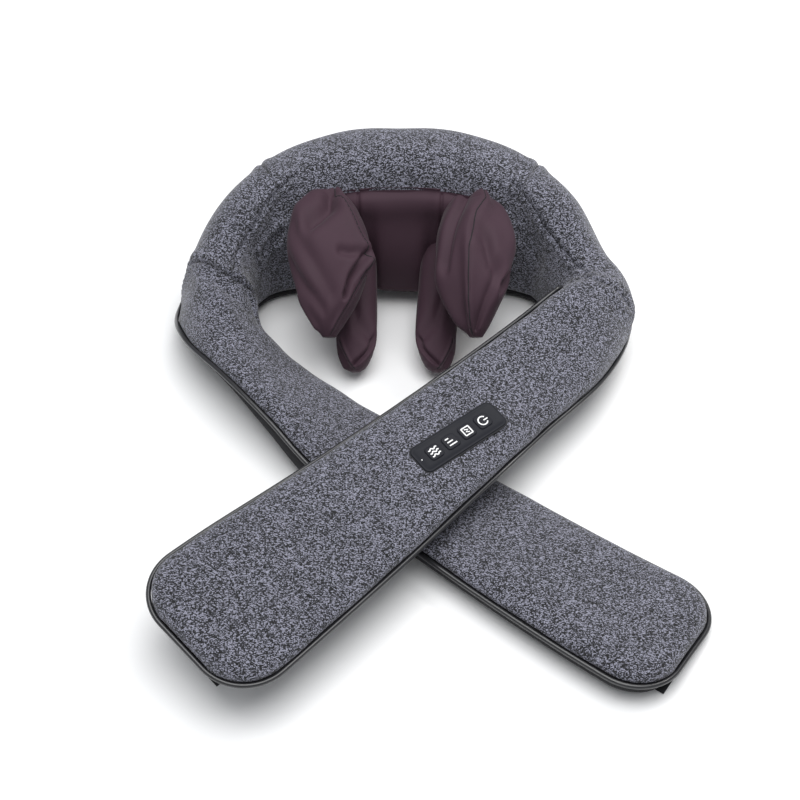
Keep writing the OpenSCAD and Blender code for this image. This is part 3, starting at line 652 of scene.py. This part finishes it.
def build_collar():
    angle = np.linspace(HEM, 179.5, 90)
    t = place_grid(0 * angle - NOTCH, 0 * angle + NOTCH, 230)
    back = crown_sheet("knit_back", t, angle, collar_relief(t, angle + 0 * t))
    dress(back, "knit", "collar", ["cover_back", "collar_foam"])
    for side in (-1, 1):
        name = side_name(side)
        angle = np.linspace(0.5, 179.5, 130)
        t = side * place_grid(NOTCH + 0 * angle, join(side, angle), 130)
        panel = crown_sheet(f"knit_{name}_shoulder", t, angle,
                            collar_relief(t, angle + 0 * t))
        dress(panel, "knit", "collar", [f"cover_{name}_shoulder", f"{name}_shoulder_foam"])
        cloth = raised(Shawl(t).crown(angle), collar_relief(t, angle + 0 * t))
        stitches(f"{name}_seam_thread", cloth[-7, 22:112], body="collar")
        angle = np.linspace(0.5, HEM + 0.4, 60)
        t = side * place_grid(1.45 + 0 * angle, NOTCH + 0 * angle, 60)
        wall = crown_sheet(f"knit_{name}_wall", t, angle, collar_relief(t, angle + 0 * t))
        dress(wall, "knit", "collar", ["knit_gussets"] if side > 0 else [])
    angle = np.linspace(0, 180, 60)
    ends = [join(side, 0 * angle + 180) for side in (-1, 1)]
    t = place_grid(-ends[0], ends[1], 220)
    under = Shawl(t)
    under.v[..., 3] -= 2.5
    lining = shell("lining_collar", under.belly(angle), under.belly(angle, 1.8))
    dress(lining, "lining", "collar", ["collar_lining"])


def build_arm(side):
    name = side_name(side)
    angle = np.linspace(0.5, 179.5, 100)
    t = arm_places(side, 4.5)[:, None] + 0 * angle
    ease = np.clip((6.2 - np.abs(t)) / 1.7, 0, 1)
    t = t + side * ease * (join(side, angle) - 4.5)
    cover = crown_sheet(f"knit_{name}_arm", t, angle, arm_relief(t, angle + 0 * t, side))
    dress(cover, "knit", None, [f"cover_{name}_arm", f"foam_{name}_arm"])
    bend_with(cover, side)
    angle = np.linspace(0, 180, 60)
    under = Shawl(arm_places(side, join(side, 180)))
    lining = shell(f"lining_{name}", under.belly(angle), under.belly(angle, 1.8))
    dress(lining, "lining", None, [f"lining_{name}_arm"])
    bend_with(lining, side)
    build_piping(side)
    build_strap(side)


def build_piping(side):
    """A glossy cord along the outer edge, round the end and back along the inner edge."""
    name = side_name(side)
    shawl = Shawl(arm_places(side, 3.7, 1.0), 1.0)
    half = shawl.v[..., 3]
    edges = shawl.place(np.concatenate([-half, half], 1), 0.0)
    inner = edges[:, 1][np.abs(shawl.t[:, 0]) > (4.95 if side > 0 else 4.4)][::-1]
    tip = edges[-1]
    end = tip[0] + (tip[1] - tip[0]) * np.linspace(0, 1, 12)[1:-1, None]
    path = np.concatenate([edges[:, 0], end, inner])
    cord = tube(f"piping_{name}", path, BEAD_R * MM, 12)
    dress(cord, "piping", None, [f"piping_{name}_arm"])
    bend_with(cord, side)


def build_strap(side):
    """A wide elastic band under the arm's end: a rounded slab with soft edges."""
    rows = UPPER if side > 0 else LOWER
    v = rows[-1]
    head = Shawl(np.array([side * LAST])).head[0, 0]
    length, width, thick = 108.0, 66.0, 1.6
    u = np.linspace(-3 - length, -3, 60)
    w = np.linspace(-width / 2, width / 2, 40)
    U, W = np.meshgrid(u, w, indexing="ij")
    lean = np.radians(v[7]) if side > 0 else 0.0
    below = -v[5] - LIFT - 0.25 - thick

    def at(height):
        """The slab's points at a height under the piping line."""
        flat = W * math.cos(lean) + height * math.sin(lean)
        x = side * (v[0] + U * head[0] + flat * head[1])
        y = v[1] + U * head[1] - flat * head[0]
        z = v[2] - W * math.sin(lean) + height * math.cos(lean)
        return np.stack([x, y, z + 0 * x], -1) * MM

    name = side_name(side)
    strap = shell(f"hand_strap_{name}", at(below + 0 * U), at(below + thick + 0 * U), 0.3)
    dress(strap, "lining", f"{name}_arm", [f"strap_{name}"])


# ---- pouch -------------------------------------------------------------------------

# Rows of a lobe: distance from the middle, y, z, half width, half height
UPPER_LOBE = [(57, -13, 76, 22, 22), (57, -26, 80, 27, 25.5), (56, -50, 82, 32, 26),
              (54.5, -74, 76, 29.5, 23.5), (54, -96, 66, 22, 17.5), (54.5, -112, 56, 12, 10),
              (54.5, -120, 50, 5, 4.5)]
LOWER_LOBE = [(36, -13, 42, 15, 16), (36, -26, 41, 16.5, 17.5), (35, -58, 35, 16, 15),
              (34.5, -88, 26, 15, 12.5), (35, -106, 19, 13, 10.5), (35.5, -117, 14.5, 8.5, 7.5),
              (36, -121, 12.5, 4, 3.6)]


def polyline_field(S, A, points, width):
    """exp(-(d / width)^2) of the distance d to a polyline in the (s, angle) plane, where a
    unit of s counts as 100 and a degree as 0.55."""
    p = np.array(points, float) * [100, 0.55]
    q = np.stack([S * 100, A * 0.55], -1)
    best = np.full(S.shape, 1e9)
    for a, b in zip(p[:-1], p[1:]):
        d = b - a
        k = np.clip(((q - a) @ d) / (d @ d), 0, 1)
        best = np.minimum(best, np.linalg.norm(q - a - k[..., None] * d, axis=-1))
    return np.exp(-np.square(best / width))


def lobe_surface(side, rows, relief, flat=2.3, count=(110, 120)):
    """Superellipse rings across a curved path, pushed out by relief(s, angle) mm.
    Angle 0 points away from the middle, 90 up, 180 to the middle."""
    s = np.linspace(0, 1, count[0]) ** LOBE_SPACING
    ring = through(rows, s * (len(rows) - 1))
    step = through(rows, np.minimum(s + 0.01, 1) * (len(rows) - 1)) - through(
        rows, np.maximum(s - 0.01, 0) * (len(rows) - 1))
    d = unit(step[:, 1:3])
    a = np.linspace(0, 360, count[1], endpoint=False)
    S, A = np.meshgrid(s, a, indexing="ij")
    c, n = np.cos(np.radians(A)), np.sin(np.radians(A))
    push = relief(S, A)
    across = (np.sign(c) * np.abs(c) ** (2 / flat)) * (ring[:, 3, None] + push)
    above = (np.sign(n) * np.abs(n) ** (2 / flat)) * (ring[:, 4, None] + push)
    x = side * (ring[:, 0, None] + across)
    y = ring[:, 1, None] + above * d[:, 1, None]
    z = ring[:, 2, None] - above * d[:, 0, None]
    return np.stack([x, y, z], -1) * MM


def closed_rings(name, rings):
    """Rings joined into a tube and closed by a fan at each end."""
    m, n = rings.shape[:2]
    quads = grid_quads(m, n, wrap=True)
    right = outward(rings, quads)
    flip = right[0][0] != quads[0][0]
    points = np.concatenate([rings.reshape(-1, 3), rings[:1].mean(1), rings[-1:].mean(1)])
    k = np.arange(n)
    start = np.stack([np.full(n, m * n), np.roll(k, -1), k], -1)
    end = np.stack([np.full(n, m * n + 1), (m - 1) * n + k, (m - 1) * n + np.roll(k, -1)], -1)
    caps = np.concatenate([start, end])
    return new_object(name, points, [*right, *(caps[:, ::-1] if flip else caps)])


def crease(S, A, points, depth, width, lift=0.0, spread=1.0):
    """A fold: a groove of the given depth and width along a polyline of (s, angle), with
    the cloth lifted on both of its sides."""
    near = polyline_field(S, A, points, width)
    wide = polyline_field(S, A, points, width * 2.4 * spread)
    return lift * (wide - near) - depth * near


def calm_nose(S):
    """1 along a lobe and down to 0 over the last tenth of it, so that its nose closes."""
    return np.clip((1.02 - S) / 0.12, 0, 1)


# Seams of the lobes, as (s, angle) points
LEFT_SEAM = [(0.05, 98), (0.16, 102), (0.27, 114), (0.34, 126), (0.43, 144), (0.49, 154),
             (0.6, 146), (0.72, 130), (0.79, 122), (0.97, 100)]
RIGHT_SEAM = [(0.05, 74), (0.2, 76), (0.31, 90), (0.47, 99), (0.64, 102), (0.78, 106),
              (0.97, 110)]
LOWER_SEAM = [(0.6, 30), (0.8, 60), (0.96, 86)]


def upper_left_relief(S, A):
    """Ridge seam from the hem to the nose, a deep dimple under the hem outside it, a slit
    where the cloth folds under, and slack drapes across the outer panel."""
    out = 5.5 * polyline_field(S, A, LEFT_SEAM[:6], 5.5)
    out += 2.5 * polyline_field(S, A, LEFT_SEAM[5:], 4.5)
    out -= 1.8 * polyline_field(S, A, LEFT_SEAM, 0.9)
    out += crease(S, A, [(0.14, 96), (0.25, 93), (0.3, 81), (0.33, 68)], 6.5, 5.0, 4.5, 1.3)
    out += crease(S, A, [(0.46, 147), (0.53, 135), (0.59, 124), (0.67, 119)], 5.5, 2.4, 3.6)
    out += crease(S, A, [(0.47, 105), (0.47, 120), (0.46, 141)], 2.2, 2.6, 2.0)
    out += crease(S, A, [(0.5, 20), (0.62, 44), (0.74, 78)], 2.2, 5.5, 1.6)
    out += crease(S, A, [(0.34, 44), (0.5, 66), (0.66, 92)], 1.8, 6.0, 2.4)
    out += 4.0 * polyline_field(S, A, [(0.12, 66), (0.2, 46)], 9)
    out += 3.0 * polyline_field(S, A, [(0.7, 14), (0.86, 26)], 8)
    return out * calm_nose(S)


def upper_right_relief(S, A):
    """Ridge seam down the middle, a fold beside it and a puffed outer corner."""
    out = 5.0 * polyline_field(S, A, RIGHT_SEAM, 6.0)
    out -= 1.8 * polyline_field(S, A, RIGHT_SEAM, 0.9)
    out += crease(S, A, [(0.1, 100), (0.25, 112), (0.36, 128), (0.5, 146)], 4.0, 5.0, 2.6)
    out += crease(S, A, [(0.39, 88), (0.43, 78), (0.52, 69), (0.56, 51)], 3.4, 5.0, 3.0)
    out += crease(S, A, [(0.44, 0), (0.56, 14), (0.62, 36)], 4.2, 4.0, 2.6)
    out += crease(S, A, [(0.6, 60), (0.75, 76), (0.9, 96)], 2.0, 5.0, 2.0)
    out += 3.0 * polyline_field(S, A, [(0.2, 40), (0.36, 28)], 9)
    out += 6.5 * polyline_field(S, A, [(0.6, 172), (0.8, 164)], 13)
    return out * calm_nose(S)


def lower_relief(S, A):
    """A seam round the nose, fuller outer side and slack folds."""
    out = 1.6 * polyline_field(S, A, LOWER_SEAM, 4.0)
    out -= 1.2 * polyline_field(S, A, LOWER_SEAM, 0.9)
    out += 2.6 * sum(polyline_field(S, A, [(0.5, turn), (0.95, turn)], 12) for turn in (0, 360))
    out += crease(S, A, [(0.6, 150), (0.74, 120), (0.86, 80)], 2.2, 4.0, 1.8)
    out += crease(S, A, [(0.2, 60), (0.5, 90), (0.6, 140)], 1.8, 6.0, 1.6)
    return out * calm_nose(S)


def shifted(rows, dx, dw=0.0):
    """Rows moved sideways by dx at the nose and widened by dw, easing in from the mouth."""
    n = len(rows) - 1
    return [(x + dx * min(1, 2 * i / n), y, z, w + dw * math.sin(math.pi * i / n), h)
            for i, (x, y, z, w, h) in enumerate(rows)]


def seam_cord(name, rings, points, body):
    """A dark thread in a lobe's seam: the rings sampled between their points along a line
    of (s, angle), as p = (1-i)(1-j) a + i (1-j) b + (1-i) j c + i j d."""
    k = np.linspace(0, len(points) - 1, 110)
    s, a = (np.interp(k, np.arange(len(points)), column) for column in np.array(points).T)
    row, column = s ** (1 / LOBE_SPACING) * (len(rings) - 1), a / 360 * rings.shape[1]
    r, c = row.astype(int), column.astype(int)
    i, j = (row - r)[:, None], (column - c)[:, None]
    path = ((1 - i) * ((1 - j) * rings[r, c] + j * rings[r, c + 1])
            + i * ((1 - j) * rings[r + 1, c] + j * rings[r + 1, c + 1]))
    return dress(tube(name, path, SEAM_CORD_R * MM, 8), "lining", body)


def build_lobes(side):
    name = side_name(side)
    body = f"massage_arm_{name}"
    upper = shifted(UPPER_LOBE, 4.0, -2.0) if side > 0 else UPPER_LOBE
    relief = upper_right_relief if side > 0 else upper_left_relief
    rings = lobe_surface(side, upper, relief, 2.2)
    top = closed_rings(f"upper_lobe_cloth_{name}", rings)
    seam_cord(f"upper_seam_{name}", rings, RIGHT_SEAM if side > 0 else LEFT_SEAM, body)
    dress(top, "stretch_cloth", body, [f"upper_lobe_{name}"])
    lower = shifted(LOWER_LOBE, -7.0 if side > 0 else -1.0)
    rings = lobe_surface(side, lower, lower_relief)
    low = closed_rings(f"lower_lobe_cloth_{name}", rings)
    seam_cord(f"lower_seam_{name}", rings, LOWER_SEAM, body)
    dress(low, "stretch_cloth", body, [f"lower_lobe_{name}"])


def build_pouch():
    """The panel between the lobes: it bulges under the hem and carries two seams."""
    angle = np.linspace(1, HEM + 2.5, 70)
    t = place_grid(0 * angle - 1.75, 0 * angle + 1.75, 170)
    shawl = Shawl(t)
    A = angle + 0 * t
    relief = -3.4 * bell((A - HEM) / 3.0) - 2.0 * bell((np.abs(t) - 0.72) / 0.03)
    relief += 0.9 * bell((np.abs(t) - 0.62) / 0.1) + 0.6 * np.sin(t * 5 + A / 9)
    relief += 2.2 * bell((A - HEM + 9) / 6)
    between = 1 / (1 + np.exp((np.abs(t) - 0.42) / 0.045))
    relief += 12.0 * between * bell((A - 6) / 20)
    panel = shell("pouch_cloth", raised(shawl.crown(angle, -2.5), relief),
                  shawl.crown(angle, 0.2))
    dress(panel, "stretch_cloth", "collar", ["pouch_panel"])
    for side in (-1, 1):
        build_lobes(side)


# ---- control panel -----------------------------------------------------------------


def on_panel(p):
    """Points of the panel's own frame (length, width, height in mm) in metres."""
    tilt, turn = np.radians(PANEL_TURN)
    x, y, z = p[..., 0], p[..., 1], p[..., 2]
    y, z = y * np.cos(tilt) - z * np.sin(tilt), y * np.sin(tilt) + z * np.cos(tilt)
    x, y = x * np.cos(turn) - y * np.sin(turn), x * np.sin(turn) + y * np.cos(turn)
    return (np.stack([x, y, z], -1) + PANEL) * MM


def pillow(name, centre, length, width, corner, profile, sides=96):
    """A rounded rectangle carried up a profile of (inset, height) rows and closed."""
    a = np.linspace(0, 2 * np.pi, sides, endpoint=False)
    cx, cy = length / 2 - corner, width / 2 - corner
    out = np.stack([np.cos(a), np.sin(a)], -1)
    core = np.stack([cx * np.sign(np.round(out[:, 0], 6)), cy * np.sign(np.round(out[:, 1], 6))], -1)
    rings = []
    for inset, height in profile:
        r = max(corner - inset, 0.05)
        shrink = 1 - max(inset - corner, 0) / max(min(cx, cy), 0.01)
        ring = core * shrink + out * r + np.asarray(centre)
        rings.append(np.concatenate([ring, np.full((sides, 1), height)], 1))
    return closed_rings(name, on_panel(np.array(rings)))


def ribbon(name, path, width, low, high):
    """A raised line of a symbol: a flat bar along a path, in the panel's frame."""
    path = np.asarray(path, float)
    d = unit(np.gradient(path, axis=0))
    across = np.stack([-d[:, 1], d[:, 0]], -1) * width / 2
    corner = [(path + across, low), (path + across, high), (path - across, high),
              (path - across, low)]
    rings = np.stack([np.concatenate([p, np.full((len(p), 1), h)], 1) for p, h in corner], 1)
    return closed_rings(name, on_panel(rings))


def key_centre(i):
    return np.array([(i - 1.5) * KEY_PITCH, 0.0])


def arc(r, a0, a1, n=30):
    a = np.radians(np.linspace(a0, a1, n))
    return np.stack([r * np.cos(a), r * np.sin(a)], -1)


def symbol_lines(key):
    """The strokes of each key's generic symbol about its centre, its top upwards."""
    if key == "heat":
        y = np.linspace(-3.8, 3.8, 30)
        return [np.stack([x + 0.6 * np.sin(y * 1.65), y], -1) for x in (-2.7, 0, 2.7)]
    if key == "strength":
        return [np.array([[x, -3.2], [x, (top - 3.2) / 2], [x, top]])
                for x, top in ((-2.8, -0.2), (0, 1.8), (2.8, 3.6))]
    if key == "mode":
        frame_line = [(-3.2, 0), (-3.2, 3.2), (3.2, 3.2), (3.2, -3.2), (-3.2, -3.2), (-3.2, 0)]
        corner = np.repeat(np.array(frame_line, float), 2, axis=0)
        corner[1:-1] += 0.02 * np.sign(np.roll(corner, -1, 0) - np.roll(corner, 1, 0))[1:-1]
        return [corner, np.array([[-1.7, -1.4], [-0.6, 1.4], [0.5, -1.2], [1.7, 1.4]])]
    return [arc(3.5, 125, 415, 50), np.array([[0, 0.6], [0, 2.4], [0, 4.4]])]


def glowing_white_print():
    # Painted glow: emission 0.25 makes the white print of the key symbols shine a little on its own;
    # the status light uses the same glowing finish.
    f = Finish("symbol_print_glow", Emission_Strength=0.25)
    speck = f.noise(900.0)
    f.feed(Base_Color=f.mix(speck, (0.78, 0.79, 0.8, 1), (0.95, 0.95, 0.95, 1)))
    f.feed(Roughness=0.4 + 0.2 * speck)
    return f.material


def build_panel():
    face = FASCIA_T + 0.05
    plate = pillow("panel_fascia", (0, 0), PANEL_L, PANEL_W, 5.0, [
        (0.5, 0.05), (0.0, 0.35), (0.0, face - 0.5), (0.25, face - 0.12), (0.8, face),
        (2.0, face - 0.02), (2.4, face - 0.22), (5.5, face - 0.28), (11.0, face - 0.3)])
    dress(plate, "slate_plastic", "right_arm", ["control_fascia"])
    rim = pillow("panel_gasket", (0, 0), PANEL_L + 1.8, PANEL_W + 1.8, 5.9, [
        (1.2, -1.0), (0.2, -0.6), (0.0, 0.1), (0.3, 0.45), (0.9, 0.5), (1.5, 0.2)])
    dress(rim, "black_plastic", "right_arm")
    glowing_print = glowing_white_print()
    for i, key in enumerate(("heat", "strength", "mode", "power")):
        top = face + KEY_RISE
        half = KEY_SIZE / 2
        cap = pillow(f"key_cap_{key}", key_centre(i), KEY_SIZE, KEY_SIZE, 2.6, [
            (0.4, -0.25), (0.05, -0.1), (0.0, top - 0.5), (0.2, top - 0.14), (0.7, top),
            (2.0, top - 0.08), (half - 1.2, top - 0.2), (half - 0.4, top - 0.22)])
        dress(cap, "slate_plastic", f"{key}_key", [f"key_{key}"])
        top_along = np.array([[0.0, -1.0], [1.0, 0.0]])
        for k, line in enumerate(symbol_lines(key)):
            mark = ribbon(f"symbol_{key}_{k}", line @ top_along + key_centre(i), STROKE,
                          top + SYMBOL_PROUD - SYMBOL_T, top + SYMBOL_PROUD)
            mark.data.materials.append(glowing_print)
            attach(mark, f"{key}_key")
    led = pillow("status_light", (-1.5 * KEY_PITCH - 11.5, 0.0), 1.1, 1.1, 0.5,
                 [(0.2, 0.8), (0.0, 1.0), (0.0, face - 0.3), (0.3, face - 0.12)], 24)
    led.data.materials.append(glowing_print)
    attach(led, "right_arm")


# ---- thread ------------------------------------------------------------------------


def stitches(name, p, pitch=3.4, length=2.3, radius=0.27, body=None):
    """Small round-ended threads along a row of points p (metres), one mesh."""
    gap = np.linalg.norm(np.diff(p, axis=0), axis=1) / MM
    along = np.concatenate([[0], np.cumsum(gap)])
    starts = np.arange(pitch / 2, along[-1] - length, pitch)
    shape = [(0.0, 0.15), (0.12, 0.8), (0.35, 1.0), (0.65, 1.0), (0.88, 0.8), (1.0, 0.15)]
    parts, faces, sides = [], [], 6
    ring = grid_quads(len(shape), sides, wrap=True)
    for k, s in enumerate(starts):
        at = s + length * np.array([u for u, _ in shape])
        c = np.stack([np.interp(at, along, p[:, j]) for j in range(3)], -1)
        side, up = frames_along(c)
        a = np.linspace(0, 2 * np.pi, sides, endpoint=False)[None, :, None]
        r = np.array([w for _, w in shape])[:, None, None] * radius * MM
        rings = c[:, None] + r * (np.cos(a) * side[:, None] + np.sin(a) * up[:, None])
        parts.append(rings.reshape(-1, 3))
        base = k * len(shape) * sides
        faces += [*(outward(rings, ring) + base)]
        faces += [base + np.arange(sides)[::-1], base + ring.max() - sides + 1 + np.arange(sides)]
    thread = new_object(name, np.concatenate(parts), faces)
    return dress(thread, "lining", body)


# ---- stage -------------------------------------------------------------------------


CAMERA_AIM = np.array([0.0, -0.158, 0.020])
LAMP_AIM = np.array([0, -0.15, 0.02])
# Lamps: name, place, size, power, colour
LAMPS = [
    ("key", (0.9, 0.7, 1.5), 1.0, 38, (1, 0.985, 0.96)),
    ("fill", (-1.2, -0.7, 1.4), 1.4, 7, (0.95, 0.97, 1)),
    ("top", (0.1, -0.3, 2.0), 1.8, 40, (1, 1, 1)),
]


def build_stage():
    scene = bpy.context.scene
    settings = scene.massager_stage
    floor = new_object("floor", np.array([[-3, -3, 0], [3, -3, 0], [3, 3, 0], [-3, 3, 0]]) - [
        0, 0, 0.0002], [[0, 1, 2, 3]], smooth=False)
    f = Finish("pale_floor", Roughness=0.6)
    soft = f.noise(6.0)
    f.feed(Base_Color=f.mix(soft, (0.93, 0.935, 0.94, 1), (0.97, 0.97, 0.97, 1)))
    floor.data.materials.append(f.material)
    elevation = settings.elevation
    away = np.array([0, -math.cos(elevation), math.sin(elevation)]) * settings.distance
    camera = bpy.data.cameras.new("camera")
    camera.lens = settings.lens
    camera.sensor_width = 36
    holder = bpy.data.objects.new("camera", camera)
    holder.location = CAMERA_AIM + away
    holder.rotation_euler = (math.pi / 2 - elevation, 0, 0)
    scene.collection.objects.link(holder)
    scene.camera = holder
    world = bpy.data.worlds.new("studio")
    world.use_nodes = True
    sky = world.node_tree.nodes["Background"].inputs
    sky["Color"].default_value = (0.95, 0.97, 1.0, 1)
    sky["Strength"].default_value = 0.42
    scene.world = world
    for name, place, size, power, colour in LAMPS:
        light = bpy.data.lights.new(name, "AREA")
        light.size, light.energy, light.color = size, power, colour
        lamp = bpy.data.objects.new(name, light)
        lamp.location = place
        toward = unit(LAMP_AIM - np.array(place))
        lamp.rotation_euler = (math.acos(-toward[2]), 0, math.atan2(toward[0], -toward[1]))
        scene.collection.objects.link(lamp)
    scene.view_settings.view_transform = "Standard"


def dress_nodes():
    """Gives every CAD node that still shows the finish of its record slot."""
    slots = {s["node"]: s["material_slot"] for s in frame["record"]["subparts"]}
    for name, node in frame["nodes"].items():
        if node.hide_render:
            continue
        node.data.materials.clear()
        node.data.materials.append(finish_for(slots[name]))


# ---- add-on ------------------------------------------------------------------------


class ClothSettings(bpy.types.PropertyGroup):
    knit_colour: bpy.props.FloatVectorProperty(
        name="Knit", description="Middle tone of the heather knit", subtype="COLOR",
        default=(0.0475, 0.0480, 0.0600))
    pouch_colour: bpy.props.FloatVectorProperty(
        name="Pouch", description="Colour of the stretch cloth", subtype="COLOR",
        default=(0.046, 0.0225, 0.034))
    panel_colour: bpy.props.FloatVectorProperty(
        name="Panel", description="Colour of the control panel", subtype="COLOR",
        default=(0.009, 0.010, 0.0155))


class StageSettings(bpy.types.PropertyGroup):
    elevation: bpy.props.FloatProperty(
        name="Elevation", description="Camera's height angle", subtype="ANGLE",
        default=math.radians(48))
    distance: bpy.props.FloatProperty(
        name="Distance", description="Camera to object", unit="LENGTH", default=1.15)
    lens: bpy.props.FloatProperty(
        name="Lens", description="Focal length in millimetres", default=67.5)


class MASSAGER_OT_collar(bpy.types.Operator):
    """Build the knit covers and the lining of the collar"""

    bl_idname = "massager.collar"
    bl_label = "Collar"

    def execute(self, context):
        build_collar()
        return {"FINISHED"}


class MASSAGER_OT_arms(bpy.types.Operator):
    """Build both padded arms with their piping and hand straps"""

    bl_idname = "massager.arms"
    bl_label = "Arms"

    def execute(self, context):
        build_arm(-1)
        build_arm(1)
        return {"FINISHED"}


class MASSAGER_OT_pouch(bpy.types.Operator):
    """Build the stretch cloth pouch: its panel and four lobes"""

    bl_idname = "massager.pouch"
    bl_label = "Pouch"

    def execute(self, context):
        build_pouch()
        return {"FINISHED"}


class MASSAGER_OT_panel(bpy.types.Operator):
    """Build the control panel's fascia, keys and symbols"""

    bl_idname = "massager.panel"
    bl_label = "Control panel"

    def execute(self, context):
        build_panel()
        return {"FINISHED"}


class MASSAGER_OT_insides(bpy.types.Operator):
    """Give the chassis, gears and other model parts their materials"""

    bl_idname = "massager.insides"
    bl_label = "Insides"

    def execute(self, context):
        dress_nodes()
        return {"FINISHED"}


class MASSAGER_OT_stage(bpy.types.Operator):
    """Set up the floor, the lights and the camera"""

    bl_idname = "massager.stage"
    bl_label = "Stage"

    def execute(self, context):
        build_stage()
        return {"FINISHED"}


class MASSAGER_PT_sidebar(bpy.types.Panel):
    bl_label = "Neck massager"
    bl_idname = "MASSAGER_PT_sidebar"
    bl_space_type = "VIEW_3D"
    bl_region_type = "UI"
    bl_category = "Neck massager"

    def draw(self, context):
        for step in STEPS:
            self.layout.operator(step.bl_idname)
        for group in (context.scene.massager_cloth, context.scene.massager_stage):
            for key in group.__annotations__:
                self.layout.prop(group, key)


STEPS = (MASSAGER_OT_stage, MASSAGER_OT_collar, MASSAGER_OT_arms, MASSAGER_OT_pouch,
         MASSAGER_OT_panel, MASSAGER_OT_insides)
CLASSES = (ClothSettings, StageSettings, *STEPS, MASSAGER_PT_sidebar)


def register():
    for cls in CLASSES:
        bpy.utils.register_class(cls)
    bpy.types.Scene.massager_cloth = bpy.props.PointerProperty(type=ClothSettings)
    bpy.types.Scene.massager_stage = bpy.props.PointerProperty(type=StageSettings)


def unregister():
    del bpy.types.Scene.massager_stage, bpy.types.Scene.massager_cloth
    for cls in reversed(CLASSES):
        bpy.utils.unregister_class(cls)


def main():
    register()
    bpy.ops.massager.stage()
    bpy.ops.massager.collar()
    bpy.ops.massager.arms()
    bpy.ops.massager.pouch()
    bpy.ops.massager.panel()
    bpy.ops.massager.insides()


if __name__ == "__main__":
    main()
